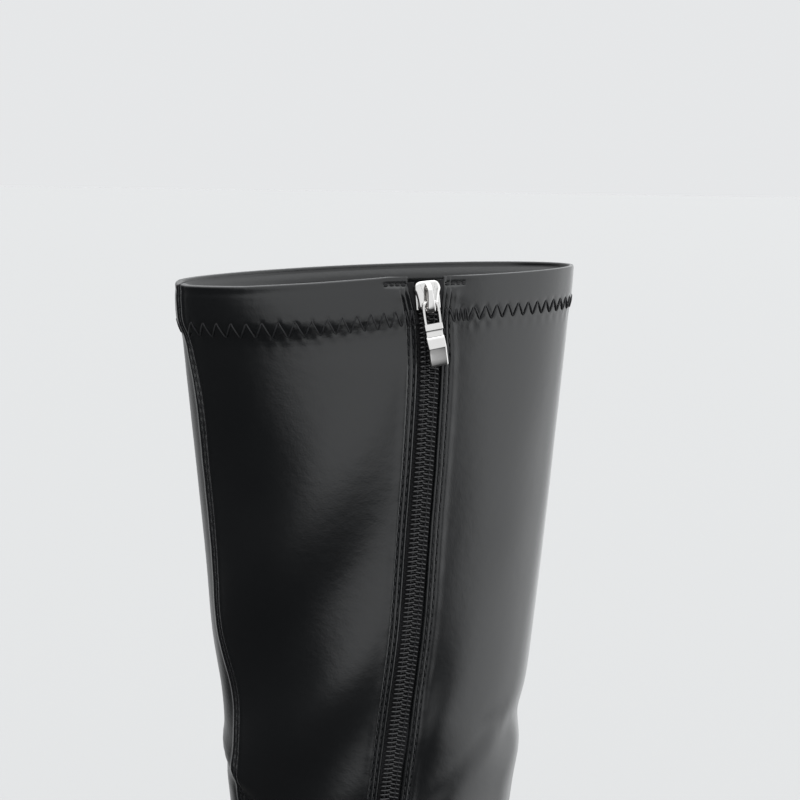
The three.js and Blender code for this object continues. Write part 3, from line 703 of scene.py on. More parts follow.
def leather_panel(name, panel, step, coarse, nodes=()):
    """One panel as a piece: its rows and its columns are as close as the steps say."""
    grid = panel_grid(panel, panel_rows(step), coarse)
    return add_piece(name, grid, [folded_shell(grid)], LEATHER, "boot", nodes)


leather_panel("shaft_front_panel", "front", 1.5, 0.75, ("upper",))
leather_panel("shaft_back_panel", "back", 1.6, 0.8)
leather_panel("shaft_outer_panel", "outer", 2.0, 1.7)

# %% [markdown]
# ## Stitches
# A stitch is a short length of thread that comes up through the leather, lies on it and goes back down.
# All the stitches of one kind are made at once: each is a five-sided tube of four rings, closed at
# both ends, so a few dozen faces. The tube's path is a flat arch whose ends sink into the leather.


# %% Stitch maker
def stitch_set(starts, ends, up, radius, lift=0.0):
    """Points and faces of many stitches: the path rises by an arch from start to end, and the rings
    stand across it; the first and last ring are small and shut by a fan."""
    share = np.array([0, 0.14, 0.5, 0.86, 1])
    arch = np.array([-0.9, 0.55, 1.0, 0.55, -0.9]) * radius + lift
    size = np.array([0.45, 1, 1.05, 1, 0.45]) * radius
    along = unit(ends - starts)
    up = unit(up - along * (up * along).sum(-1, keepdims=True))
    side = np.cross(along, up)
    middle = (starts[:, None] + (ends - starts)[:, None] * share[None, :, None]
              + up[:, None] * arch[None, :, None])
    angle = np.arange(5) * 2 * np.pi / 5
    ring = (side[:, None, None] * np.cos(angle)[None, None, :, None]
            + up[:, None, None] * np.sin(angle)[None, None, :, None])
    points = middle[:, :, None] + ring * size[None, :, None, None]
    count = len(starts)
    base = np.arange(count)[:, None, None] * 25
    quads = (grid_faces(5, 5, closed_columns=True)[None] + base).reshape(-1, 4)
    fan = np.array([[0, 1, 2], [0, 2, 3], [0, 3, 4]])
    caps = np.concatenate([fan[:, ::-1], fan + 20])
    return points.reshape(-1, 3), quads, (caps[None] + base).reshape(-1, 3)


def join_sets(sets):
    """One list of points with the quads and triangles of every set renumbered."""
    points, quads, triangles, count = [], [], [], 0
    for p, q, t in sets:
        points.append(p)
        quads.append(np.asarray(q).reshape(-1, 4) + count)
        triangles.append(np.asarray(t).reshape(-1, 3) + count)
        count += len(p)
    return np.concatenate(points), [np.concatenate(quads), np.concatenate(triangles)]


def on_panel(panel, distance, girth, lift=0.0):
    """Points on a panel's outer face and the normals there."""
    distance, girth = np.broadcast_arrays(np.asarray(distance, float), np.asarray(girth, float))
    offset = outer_offset(panel, distance, girth) + lift
    return place(distance, girth, offset), last_normal(distance, turn_of(distance, girth))


def edge_row(panel, edge, inset, start, end, pitch=2.75, gap=0.6, radius=0.2):
    """A row of stitches at an inset from a panel's edge, between two distances."""
    first = np.arange(start, end - pitch, pitch)
    last = first + pitch - gap
    sign = 1 if edge == "left" else -1
    line = PANELS[panel][edge]
    a, up = on_panel(panel, first, line(first) + sign * inset, 0.06)
    b, _ = on_panel(panel, last, line(last) + sign * inset, 0.06)
    return stitch_set(a, b, up, radius)


# %% Seam and zip rows
SEAM_START, ROW_END = 2.2, ANKLE_SEAM - 1
rows = []
for panel, edge in (("front", "left"), ("outer", "right"), ("back", "right"), ("outer", "left")):
    rows.append(edge_row(panel, edge, SEAM_ROW, SEAM_START, ROW_END))
for panel, edge in (("front", "right"), ("back", "left")):
    for inset in ZIP_ROWS:
        rows.append(edge_row(panel, edge, inset, 9.5, ANKLE_SEAM - 6))
points, faces = join_sets(rows)
add_piece("seam_threads", points, faces, THREAD, "boot")

# %% [markdown]
# ## Zigzag and tacks
# The zigzag holds the hem and lets it stretch. Each leg of it is one stitch, which crosses from the top
# line to the lower line, and the same seam shows inside the collar. Beside the zip the seam is run
# back and forth, and short rows of tacks hold the turned ends of the tape under the rim.


# %% Zigzag threads
def zigzag_set(panel, inside=False):
    """One stitch from each corner of the zigzag to the next, on the outer face or inside the hem."""
    nodes = ZIG_NODES[panel]
    count = np.arange(len(nodes))
    depth = np.where(count % 2 == 0, zig_low(nodes), zig_top(nodes))
    if inside:
        keep = depth - 3.2
        points = place(keep, nodes, -hem_inside(panel, keep, nodes) - 0.06)
        up = -last_normal(keep, turn_of(keep, nodes))
    else:
        points, up = on_panel(panel, depth, nodes, 0.12)
    return stitch_set(points[:-1], points[1:], up[:-1] + up[1:], 0.25)


def tack_row(panel, edge, depth, first, last, pitch=1.7, gap=0.35):
    """Stitches that run round the leg at one distance."""
    x = np.arange(first, last, pitch)
    sign = 1 if edge == "left" else -1
    base = PANELS[panel][edge](depth)
    a, up = on_panel(panel, depth, base + sign * x, 0.05)
    b, _ = on_panel(panel, depth, base + sign * (x + pitch - gap), 0.05)
    return stitch_set(a, b, up, 0.2)


TACK_ROWS = (TACK_DEPTH - 0.25, TACK_DEPTH + 0.25)
sets = [zigzag_set(panel) for panel in PANELS] + [zigzag_set(panel, True) for panel in PANELS]
sets += [tack_row("back", "left", depth, 0.9, 7.4) for depth in TACK_ROWS]
sets += [tack_row("front", "right", depth, 0.9, 7.4) for depth in TACK_ROWS]
sets += [tack_row("back", "left", depth, 0.6, 6.0, 1.2, 0.1) for depth in (ANKLE_SEAM - 6, ANKLE_SEAM - 5)]
sets += [tack_row("front", "right", depth, 0.6, 6.0, 1.2, 0.1) for depth in (ANKLE_SEAM - 6, ANKLE_SEAM - 5)]
points, faces = join_sets(sets)
add_piece("zigzag_threads", points, faces, THREAD, "boot")

# %% [markdown]
# ## The zip
# Two woven tapes lie under the leather's edges, each with a coil of nylon sewn to it. The coils are the
# teeth: their loops meet in the middle, half a pitch apart. Each is a thread wound round a flat
# oval as it climbs, so it is one long tube, and a line of stitches sinks into it.


# %% Tapes
def strip_along_zip(profile, heights):
    """A closed profile of (across, depth) pairs in mm carried along the zip on the leg's surface."""
    distance, turn = zip_place(heights)
    girth = zip_line(distance)
    across, depth = profile[:, 0], profile[:, 1]
    turns = turn_of(distance[:, None], girth[:, None] + across[None, :])
    return skin(distance[:, None], turns, depth[None, :])


def closed_strip(grid):
    """Faces of a strip whose section is a closed loop, with a fan over each end."""
    rows, columns = grid.shape[:2]
    fan = np.stack([np.zeros(columns - 2, int), np.arange(1, columns - 1), np.arange(2, columns)], -1)
    return [grid_faces(rows, columns, closed_columns=True),
            np.concatenate([fan[:, ::-1], fan + (rows - 1) * columns])]


tape_heights = np.linspace(RIM_Z - 3, 86, 150)
for name, side, nodes in (("zip_tape_front", -1, ("zip_tape",)), ("zip_tape_rear", 1, ())):
    section = np.array([[0.25, -1.25], [0.6, -1.12], [3, -1.12], [6, -1.14], [9, -1.18], [9, -1.5],
                        [6, -1.48], [3, -1.46], [0.6, -1.46], [0.25, -1.4]]) * [side, 1]
    strip = strip_along_zip(section, tape_heights)
    add_piece(name, strip, closed_strip(strip), TAPE, "boot", nodes)

# %% [markdown]
# At the top each tape's end is folded under and outwards, so that a small dark tongue of tape lies
# beside the slider. It is a thin strip that starts by the coil and curls away towards the rim.

# %% Folded tape ends
END_LENGTH = 13
end_heights = np.linspace(RIM_Z - 0.6, RIM_Z - END_LENGTH, 26)
fold_share = smoothstep(end_heights, RIM_Z - END_LENGTH, RIM_Z - 1)
for name, side in (("tape_end_front", -1), ("tape_end_rear", 1)):
    origin, out, down, across = zip_axes(end_heights)
    angle = np.linspace(0, 2 * np.pi, 13)[:-1]
    wide = 0.75 + 0.35 * fold_share
    centre = (origin + across * (side * (3.55 + 1.0 * fold_share))[:, None]
              + out * (0.05 - 0.75 * (1 - fold_share))[:, None])
    strip = (centre[:, None] + across[:, None] * (wide[:, None] * np.cos(angle))[..., None]
             + out[:, None] * (0.42 * np.sin(angle))[None, :, None])
    add_piece(name, strip, closed_strip(strip), TAPE, "boot")

# %% Coils
COIL_PITCH = 1.45
COIL_WIRE = 0.31
COIL_STEPS = 16


def coil(side, phase):
    """Tube round a winding: across and out follow a flat oval while the height falls by one pitch a
    turn; the rings stand across the winding's own direction."""
    top, bottom = RIM_Z - 5, ZIP_BOTTOM + 2
    turns = (top - bottom) / COIL_PITCH
    t = np.arange(int(turns * COIL_STEPS)) / COIL_STEPS + phase
    a = t * 2 * np.pi
    z = top - (t - phase) * COIL_PITCH
    origin, out, down, across = zip_axes(z)
    flat = squared(np.cos(a), 0.8)
    x = side * (1.32 - 1.5 * flat)
    y = -0.28 + 0.62 * squared(np.sin(a), 0.75)
    path = origin + across * x[:, None] + out * y[:, None]
    along = unit(np.gradient(path, axis=0))
    first = unit(np.cross(along, down + 0.01 * out))
    second = np.cross(along, first)
    ring = np.arange(6) * np.pi / 3
    return (path[:, None] + COIL_WIRE * (first[:, None] * np.cos(ring)[None, :, None]
                                         + second[:, None] * np.sin(ring)[None, :, None]))


for name, side, phase, nodes in (("zip_coil_front", -1, 0.0, ("zip_coil",)), ("zip_coil_rear", 1, 0.5, ())):
    tube = coil(side, phase)
    add_piece(name, tube, closed_strip(tube), NYLON, "boot", nodes, sharp=80)

# %% Coil stitches
stitch_heights = np.arange(RIM_Z - 8, ZIP_BOTTOM + 3, -COIL_PITCH)
sets = []
for side in (-1, 1):
    origin, out, down, across = zip_axes(stitch_heights)
    line = origin + across * (side * 1.62) + out * 0.3
    sets.append(stitch_set(line, line + down * 1.3, out, 0.2))
points, faces = join_sets(sets)
add_piece("coil_threads", points, faces, THREAD, "boot")

# %% [markdown]
# ## Slider and pull tab
# The slider is cast metal: a shield-shaped body with a rounded face, a flange down each side, and a crown
# that arches over it. The tab's bar lies under the crown, so the tab is the one part that swings.
# Both are drawn in the slider's own axes (across, up the zip, out) and set in place at the end.

# %% Slider axes
SLIDER_LENGTH, SLIDER_HALF = 8.6, 4.0
slider_origin, slider_out, slider_down, slider_across = [
    v[0] for v in zip_axes(RIM_Z - 0.4 - SLIDER_LENGTH / 2)]
TAB_LEAN = math.radians(4)
PLATE_BACK = 1.0
HINGE_DOWN, HINGE_OUT = 1.9, 3.1


def on_slider(local, down=0.0, out=0.0, lean=0.0):
    """Points given as across, up and out, turned by the lean and set on the slider."""
    c, s = math.cos(lean), math.sin(lean)
    x, y, z = local[..., 0], local[..., 1], local[..., 2]
    across, up = x * c - y * s, x * s + y * c
    return (slider_origin + slider_down * down + slider_out * out + slider_across * across[..., None]
            - slider_down * up[..., None] + slider_out * z[..., None])


def outline_stack(outline, levels):
    """Rings of one outline: each level gives a height and how far the outline is drawn in, by
    moving each point along the inward normal of the outline."""
    tangent = np.roll(outline, -1, 0) - np.roll(outline, 1, 0)
    inward = unit(np.stack([-tangent[:, 1], tangent[:, 0]], -1))
    rings = [np.column_stack([outline + inward * inset, np.full(len(outline), height)])
             for height, inset in levels]
    return np.array(rings)


def bend(a, b, c, steps):
    """Quadratic curve from a to c drawn towards b."""
    t = np.linspace(0, 1, steps, endpoint=False)[:, None]
    return (1 - t) ** 2 * a + 2 * t * (1 - t) * b + t**2 * c


def slider_outline():
    """Shield: narrow below, widest near the shoulders, with a rounded top, run anticlockwise."""
    h, w = SLIDER_LENGTH / 2, SLIDER_HALF
    right = [bend(np.array([0.0, -h]), np.array([0.72 * w, -h]), np.array([0.76 * w, -0.7 * h]), 8),
             bend(np.array([0.76 * w, -0.7 * h]), np.array([0.8 * w, -0.1 * h]), np.array([w, 0.42 * h]), 10),
             bend(np.array([w, 0.42 * h]), np.array([0.98 * w, 0.95 * h]), np.array([0.45 * w, h]), 10)]
    right = np.concatenate(right + [np.array([[0.0, h]])])
    left = right[1:-1][::-1] * [-1, 1]
    return np.concatenate([right, left])


# %% Slider body
sets = []
levels = [(0, 0.3), (0.1, 0.08), (0.3, 0), (0.75, 0.02), (1.0, 0.2), (1.15, 0.5), (1.24, 1.0), (1.28, 1.7)]
body = outline_stack(slider_outline(), levels)
sets.append((body.reshape(-1, 3), *closed_strip(body)))


def bar(path, width, thick, steps=16):
    """Rounded bar: a superellipse section of the given width and thickness carried along a path in
    the middle plane of the slider; the section stays across the slider."""
    path = np.asarray(path, float)
    along = unit(np.gradient(path, axis=0))
    up = np.stack([-along[:, 1], along[:, 0]], -1)
    angle = np.arange(steps) * 2 * np.pi / steps
    x = squared(np.cos(angle), 0.45)
    y = squared(np.sin(angle), 0.45)
    width, thick = np.broadcast_to(width, len(path)), np.broadcast_to(thick, len(path))
    across = width[:, None] / 2 * x
    rise = thick[:, None] / 2 * y
    return np.stack([across, path[:, :1] + up[:, :1] * rise, path[:, 1:] + up[:, 1:] * rise], -1)


arch_corner = [bend(np.array(a), np.array(b), np.array(c), 8) for a, b, c in (
    ([3.55, 0.8], [3.0, 3.3], [0.6, 3.5]), ([0.6, 3.5], [-1.5, 3.65], [-3.4, 3.5]),
    ([-3.4, 3.5], [-4.9, 3.3], [-4.75, 2.0]))]
arch = np.concatenate(arch_corner + [np.array([[-4.7, 1.5], [-4.3, 0.9], [-3.7, 0.7]])])
arch_share = np.linspace(0, 1, len(arch))
crown = bar(arch, 1.5 + 0.9 * smoothstep(arch_share, 0.2, 0.7), 0.75)
sets.append((crown.reshape(-1, 3), *closed_strip(crown)))
for side in (-1, 1):
    flange = bar([[-3.9, -0.35], [-3.6, -0.35], [0, -0.35], [2.4, -0.35], [2.8, -0.35]], 0.75, 1.5)
    flange = flange + [side * 3.35, 0, 0]
    sets.append((flange.reshape(-1, 3), *closed_strip(flange)))
points, faces = join_sets(sets)
add_piece("zip_slider_body", on_slider(points, 0, PLATE_BACK), faces, NICKEL, "boot",
          ("zip_slider",), sharp=50)

# %% [markdown]
# The tab starts as a loop round the crown and goes on as a flat blade. Across the blade lies a groove,
# then a facet that rises to a ridge and falls away to the square end.

# %% Pull tab
TAB_HALF, TAB_BAR, TAB_THICK, WINDOW = 2.75, 1.0, 1.0, 6.8
BLADE = np.array([[-6.3, 0.42], [-6.9, 0.6], [-8.1, 0.72], [-8.35, 0.34], [-8.6, 0.3], [-9.9, 0.36],
                  [-10.15, 0.42], [-10.3, 0.6], [-10.5, 0.72], [-13.1, 1.5], [-13.45, 1.52],
                  [-13.8, 1.45], [-18.4, 1.0], [-18.9, 0.85], [-19.05, 0.5], [-19.1, 0.0]])


def tab_loop():
    """Closed loop of bar round the window: an oblong with rounded corners, its section swept along."""
    half, low, high = TAB_HALF - 0.45, -TAB_BAR / 2 - WINDOW - 0.3, 0.0
    angle = np.linspace(0, 2 * np.pi, 49)[:-1]
    x = half * squared(np.cos(angle), 0.42)
    y = (high + low) / 2 + (high - low) / 2 * squared(np.sin(angle), 0.5)
    path = np.stack([x, y], -1)
    tangent = unit(np.roll(path, -1, 0) - np.roll(path, 1, 0))
    outward = np.stack([tangent[:, 1], -tangent[:, 0]], -1)
    ring = np.arange(12) * np.pi / 6
    wide = 0.46 * squared(np.cos(ring), 0.6)
    rise = TAB_THICK / 2 * squared(np.sin(ring), 0.6)
    flat = path[:, None] + outward[:, None] * wide[None, :, None]
    return np.concatenate([flat, np.broadcast_to(rise[None, :, None], (48, 12, 1))], -1)


def tab_blade():
    """Blade: at each place down it a rounded oblong between the back and the profile's height."""
    y = np.concatenate([np.linspace(a, b, 3, endpoint=False) for a, b in zip(BLADE[:-1, 0], BLADE[1:, 0])]
                       + [BLADE[-1:, 0]])
    front = np.interp(-y, -BLADE[:, 0], BLADE[:, 1])
    wide = TAB_HALF - 0.22 * smoothstep(-y, 8.2, 8.6) * (1 - smoothstep(-y, 10.0, 10.3)) \
        - 0.35 * smoothstep(-y, 18.7, 19.1)
    back = -0.48 + 0.3 * smoothstep(-y, 18.8, 19.1)
    ring = np.arange(28) * 2 * np.pi / 28
    x = squared(np.cos(ring), 0.16)
    z = squared(np.sin(ring), 0.3)
    middle, half = (front + back) / 2, (front - back) / 2
    shape = (len(y), len(ring))
    return np.stack([wide[:, None] * x, np.broadcast_to(y[:, None], shape),
                     middle[:, None] + half[:, None] * z], -1)


loop, blade = tab_loop(), tab_blade()
loop_faces = grid_faces(48, 12, True, True)
points, faces = join_sets([(loop.reshape(-1, 3), loop_faces, np.zeros((0, 3), int)),
                           (blade.reshape(-1, 3), *closed_strip(blade))])
add_piece("pull_tab_blade", on_slider(points, HINGE_DOWN, HINGE_OUT, TAB_LEAN), faces, NICKEL,
          "pull_tab", ("pull_tab",), sharp=30)

# %% [markdown]
# ## Lining and foot
# Inside, a cloth lining hangs from under the hem. It follows the leather's inner face, so it is the
# same surface moved inwards. The foot is one smooth vamp and counter, lapped over the leg's lower edge
# with two rows of stitches. Its lower edge goes under to meet the insole, on the line where the last
# crosses the bed, so the turn stops there: half a turn in the heel rows, and less along the foot.


# %% Where the last meets the bed
def feather_turn(distance, side):
    """Turn at which a section crosses the bed, found by halving between the side and the back."""
    above = np.full(np.shape(distance), np.pi / 2)
    below = np.full(np.shape(distance), np.pi)
    for _ in range(40):
        turn = (above + below) / 2
        p = last_point(distance, side * turn)
        higher = p[..., 2] > through(BED[:, 0], BED[:, 1], p[..., 0])
        above, below = np.where(higher, turn, above), np.where(higher, below, turn)
    return side * above


def heel_distance():
    """Distance at which the back of the last goes under the bed."""
    above, below = LAST_KEYS[8], LAST_KEYS[9]
    for _ in range(40):
        middle = (above + below) / 2
        p = last_point(middle, np.pi)
        if p[2] > through(BED[:, 0], BED[:, 1], p[0]):
            above = middle
        else:
            below = middle
    return below


HEEL_DISTANCE = heel_distance()


def foot_turns(distance, columns):
    """Turns across a foot row: from the outer feather line round the top to the inner one, eased so
    that points gather where the section is most bent."""
    share = np.linspace(-1, 1, columns)
    share = share + 0.06 * np.sin(2 * np.pi * share)
    inner, outer = feather_turn(distance, 1), -feather_turn(distance, -1)
    ends = np.where(share[None, :] >= 0, inner[:, None], outer[:, None])
    return np.abs(share)[None, :] * ends * np.sign(share)[None, :]


FOOT_TOP = ANKLE_SEAM - 1.5
FOOT_ROWS = (2.0, 4.2)
FOOT_FOLDS = np.array([[395, 8, 0.5], [404, 7, -0.35], [414, 7, 0.4]])


def foot_offset(distance, turn):
    """Foot leather's outer face: a rolled top edge over the leg, two stitch grooves below it, and
    faint creases across the vamp that fade at its sides."""
    x = distance - FOOT_TOP
    roll = 0.75 * np.sqrt(1 - (1 - np.clip(x / 0.7, 0, 1)) ** 2)
    grooves = -0.3 * bell(x - FOOT_ROWS[0], 0.35) - 0.3 * bell(x - FOOT_ROWS[1], 0.35)
    grooves = grooves + 0.12 * bell(x - 3.1, 0.5)
    lapped = 0.35 * (1 - smoothstep(x, 5, 16))
    creases = 0.0
    for middle, width, height in FOOT_FOLDS:
        creases = creases + height * bell(distance - middle - 6 * np.cos(turn), width) * bell(turn, 0.9)
    return roll - 0.5 + grooves + lapped + creases


# %% Foot leather
def closed_sheet(outer, inner):
    """Folded grid from two faces of the same rows and columns."""
    grid = np.concatenate([inner[::-1], outer])
    return grid, [folded_shell(grid)]


near_seam = FOOT_TOP + np.array([0, 0.1, 0.25, 0.45, 0.75, 1.2, 1.6, 1.9, 2.2, 2.6, 3.0, 3.5, 3.9,
                                         4.2, 4.5, 5.0, 6.0])
heel_rows = np.linspace(near_seam[-1] + 1.2, HEEL_DISTANCE, 10)[:-1]
foot_rows = np.linspace(HEEL_DISTANCE, LAST_LENGTH - 0.6, 150)
rows_foot = np.concatenate([near_seam, heel_rows, foot_rows])
turns_foot = foot_turns(rows_foot, 121)
outer_face = skin(rows_foot[:, None], turns_foot, foot_offset(rows_foot[:, None], turns_foot))
inner_face = skin(rows_foot[:, None], turns_foot, np.full(turns_foot.shape, -1.1))
grid, faces = closed_sheet(outer_face, inner_face)
add_piece("foot_upper", grid, faces, LEATHER, "boot")

# %% Toe end and lining
tip_rows = np.linspace(LAST_LENGTH - 0.62, LAST_LENGTH, 6)
tip_turns = np.linspace(0, 2 * np.pi, 49)[:-1]
tip_share = np.linspace(1, 0, 6)[:, None] ** 0.5
tip_middle = last_point(LAST_LENGTH - 0.6, tip_turns).mean(0)
tip_ring = skin(LAST_LENGTH - 0.6, tip_turns, 0.2)
tip = tip_middle + (tip_ring - tip_middle)[None] * tip_share[..., None] \
    + np.array([-1, 0, 0.1]) * (0.7 * (1 - tip_share**2))[..., None]
back_ring = tip_ring + np.array([1.4, 0, 0])
tip = np.concatenate([back_ring[None], tip])
add_piece("toe_end", tip, closed_strip(tip), LEATHER, "boot")

lining_rows = np.concatenate([np.arange(12.5, 300, 3.0), np.linspace(302, HEEL_DISTANCE - 1, 14)])
leg_rows = lining_rows[lining_rows < HEEL_DISTANCE]
all_rows = np.concatenate([leg_rows, np.linspace(HEEL_DISTANCE, LAST_LENGTH - 8, 60)])
turns_in = foot_turns(all_rows, 97)
calm_folds = smoothstep(all_rows, 20, 40) * (1 - smoothstep(all_rows, 250, 280))
fold_in = np.where(all_rows[:, None] < 290, folds(
    all_rows[:, None], np.interp(turns_in % (2 * np.pi), TURNS, GIRTH_AT_TURN[100])), 0)
depth_in = fold_in * 0.8 * calm_folds[:, None]
near_face = skin(all_rows[:, None], turns_in, depth_in - 1.75)
far_face = skin(all_rows[:, None], turns_in, depth_in - 2.15)
grid, faces = closed_sheet(near_face, far_face)
add_piece("lining", grid, faces, LINING, "boot")

# %% Ankle seam threads
around = np.arange(-np.pi + 0.04, np.pi - 0.06, 0.052)
sets = []
for x in FOOT_ROWS:
    row = np.full(around.shape, FOOT_TOP + x)
    start, finish = around, around + 0.041
    a = skin(row, start, foot_offset(row, start) + 0.06)
    b = skin(row, finish, foot_offset(row, finish) + 0.06)
    sets.append(stitch_set(a, b, last_normal(row, start), 0.2))
points, faces = join_sets(sets)
add_piece("ankle_threads", points, faces, THREAD, "boot")

# %% [markdown]
# ## Sole, insole and heel
# All three come from one outline: the feather line seen from above, moved out or in by a margin. A slab
# is a stack of such outlines whose heights follow the bed, with its edges rounded by small
# margins, and closed above and below by strips that run across from the inner to the outer side.


# %% Outline and slabs
SLAB_COLUMNS, HEEL_COLUMNS = 12, 10


def outline_sides(margin, steps=96):
    """Inner and outer side of the feather line from heel to toe, moved outwards by the margin."""
    share = np.linspace(0, 1, steps)
    eased = share - 0.12 * np.sin(2 * np.pi * share)
    distance = HEEL_DISTANCE + 0.02 + (LAST_LENGTH - HEEL_DISTANCE - 0.02) * eased
    inner = last_point(distance, feather_turn(distance, 1))[:, :2]
    outer = last_point(distance, feather_turn(distance, -1))[:, :2]
    loop = np.concatenate([inner, outer[::-1]])
    tangent = unit(np.roll(loop, -1, 0) - np.roll(loop, 1, 0))
    moved = loop + np.stack([-tangent[:, 1], tangent[:, 0]], -1) * margin
    return moved[:steps], moved[steps:][::-1]


def add_stack(name, sheets, rings, material, nodes, sharp=40):
    """Closed stack of outlines: the sheets shut the first and the last ring, and their edge points
    are those of the rings, so they are joined by number and nothing is left open."""
    n, width = sheets[0].shape[:2]
    sheet = n * width
    points = np.concatenate([part.reshape(-1, 3) for part in (*sheets, np.array(rings))])
    remap = np.arange(len(points))
    i = np.arange(n)
    for s, level in ((0, 0), (1, len(rings) - 1)):
        ring = 2 * sheet + level * 2 * n
        remap[s * sheet + i * width] = ring + i
        remap[s * sheet + i * width + width - 1] = ring + 2 * n - 1 - i
    cap = grid_faces(n, width)
    wall = grid_faces(len(rings), 2 * n, closed_columns=True)
    faces = np.concatenate([remap[cap], remap[cap + sheet][:, ::-1], remap[wall + 2 * sheet][:, ::-1]])
    used = np.unique(faces)
    renumber = np.zeros(len(points), int)
    renumber[used] = np.arange(len(used))
    return add_piece(name, points[used], [renumber[faces]], material, "boot", nodes, sharp=sharp)


def across_sides(a, b, columns):
    """Points in straight lines from each point of one side to its partner on the other."""
    t = np.linspace(0, 1, columns + 1)[None, :, None]
    return a[:, None] * (1 - t) + b[:, None] * t


def add_slab(name, levels, height_of, material, nodes):
    """Stack of outlines: each level has a margin and a height over height_of(x)."""
    sheets, rings = [], []
    for margin, height in (levels[0], levels[-1]):
        flat = across_sides(*outline_sides(margin), SLAB_COLUMNS)
        sheets.append(np.concatenate([flat, (height_of(flat[..., 0]) + height)[..., None]], -1))
    for margin, height in levels:
        a, b = outline_sides(margin)
        loop = np.concatenate([a, b[::-1]])
        rings.append(np.column_stack([loop, height_of(loop[:, 0]) + height]))
    return add_stack(name, sheets, rings, material, nodes)


def bed(x):
    """Height of the last's underside at x."""
    return through(BED[:, 0], BED[:, 1], x)


SOLE_LEVELS = [(0.6, -4.3), (1.15, -4.15), (1.4, -3.8), (1.45, -2.6), (1.2, -2.35), (1.2, -2.1),
               (1.45, -1.9), (1.5, -1.0), (1.3, -0.5), (0.9, -0.3)]
add_slab("outsole", SOLE_LEVELS, bed, RUBBER, ("outsole",))
SOCK_LEVELS = [(-3.2, 0.05), (-2.9, 0.4), (-2.9, 1.7), (-3.1, 2.2), (-3.7, 2.4)]
add_slab("insole", SOCK_LEVELS, bed, SOCK, ("insole",))

# %% [markdown]
# The heel is a block covered in the upper's leather, drawn in a little towards the ground with a slightly
# hollow back, and cut straight across at its breast. The top lift under it is the piece that wears.

# %% Heel and top lift
BREAST_X = -25.0
LIFT = 6.0


def heel_sides(margin, steps=40):
    """Sides of the seat's outline behind the breast, read at even steps of an angle so that points
    gather at the round back."""
    inner, outer = outline_sides(margin)
    back = min(inner[0, 0], outer[0, 0])
    x = back - (back - (BREAST_X - margin * 0.3)) * (1 - np.cos(np.linspace(0, np.pi / 2, steps)))
    order_in, order_out = np.argsort(inner[:, 0]), np.argsort(outer[:, 0])
    a = np.interp(x, inner[order_in, 0], inner[order_in, 1])
    b = np.interp(x, outer[order_out, 0], outer[order_out, 1])
    return np.column_stack([x, a]), np.column_stack([x, b])


def heel_shape(levels, name, material, nodes, top_of):
    """Heel outlines between the seat and the ground: share down the heel, drawn in about its middle."""
    a, b = heel_sides(0.84)
    loop = np.concatenate([a, b[::-1]])
    top = top_of(loop[:, 0])
    rings = [np.column_stack([loop * shrink, top + (bottom - top) * share])
             for share, shrink, bottom in levels]
    n = len(a)
    sheets = [across_sides(ring[:n], ring[n:][::-1], HEEL_COLUMNS) for ring in (rings[0], rings[-1])]
    return add_stack(name, sheets, rings, material, nodes, sharp=35)


def seat_under(x):
    """Height of the top of the heel block at x."""
    return bed(x) - 4.35


share = np.linspace(0, 1, 14)
shrinks = 1 - 0.1 * share - 0.035 * np.sin(np.pi * share)
heel_shape([(s, k, LIFT + 0.25) for s, k in zip(share, shrinks)], "heel_cover", LEATHER,
           ("heel",), seat_under)
heel_shape([(0, 0.893, 0), (0.06, 0.9, 0), (0.9, 0.897, 0), (1, 0.888, 0)], "top_lift", RUBBER,
           ("top_lift",), lambda x: np.full(np.shape(x), LIFT))

# %% [markdown]
# ## Stage, light and camera
# The boot stands on one wide, flat, pale floor. There are no lamps: all the light comes from the room
# round it. The floor is left out of glossy reflections, so the leather shows only the room.


# %% Floor
def plain_material(name, colour):
    """A matt material of one colour."""
    material = bpy.data.materials.new(name)
    material.use_nodes = True
    shader = material.node_tree.nodes["Principled BSDF"]
    shader.inputs["Base Color"].default_value = (*colour, 1)
    shader.inputs["Roughness"].default_value = 0.9
    shader.inputs["Specular IOR Level"].default_value = 0.1
    return material


FLOOR_REACH = 40.0
mesh = bpy.data.meshes.new("floor")
edge = np.array([-1, 1]) * FLOOR_REACH
floor_points = [(x, y, -0.0002) for x in edge for y in edge]
mesh.from_pydata(floor_points, [], [(0, 2, 3, 1)])
mesh.update()
floor = bpy.data.objects.new("floor", mesh)
bpy.context.scene.collection.objects.link(floor)
mesh.materials.append(plain_material("pale_floor", (0.4, 0.4, 0.4)))
floor.visible_glossy = False

# %% [markdown]
# The light is a soft room, given as a few broad lobes: each is a direction, the cosines where it begins
# and where it is full, and its strength, and the strongest lobe in a direction counts. The window side
# lights the rear panel, overhead lights the rim, and the toe's side is dim. Seen directly, the room is
# one plain pale colour; the lobes are met only by light and by reflections.

# %% Room light
BASE_LIGHT = 0.05
LOBES = [
    ("overhead", (0, 0.1, 1), 0.1, 0.9, 2.6),
    ("window", (0.98, -0.17, 0.05), 0.58, 0.88, 1.7),
    ("window_end", (0.82, 0.57, 0.05), 0.6, 0.9, 1.3),
    ("beside_camera", (0.25, -0.96, -0.14), 0.9, 0.985, 0.5),
    ("front_high", (-0.075, -0.863, 0.5), 0.5, 0.72, 1.15),
    ("behind", (-0.2, 0.96, 0.2), 0.5, 0.8, 0.6),
]
ROOM_COLOUR = (0.975, 0.99, 1.0)
PALE = (0.79, 0.8, 0.81)

world = bpy.data.worlds.new("studio")
bpy.context.scene.world = world
world.use_nodes = True
tree = world.node_tree


def math_node(kind, *values):
    """A math node whose inputs are plain numbers or the outputs of other nodes."""
    node = tree.nodes.new("ShaderNodeMath")
    node.operation = kind
    for socket, value in zip(node.inputs, values):
        if hasattr(value, "is_linked"):
            tree.links.new(value, socket)
        else:
            socket.default_value = value
    return node.outputs[0]


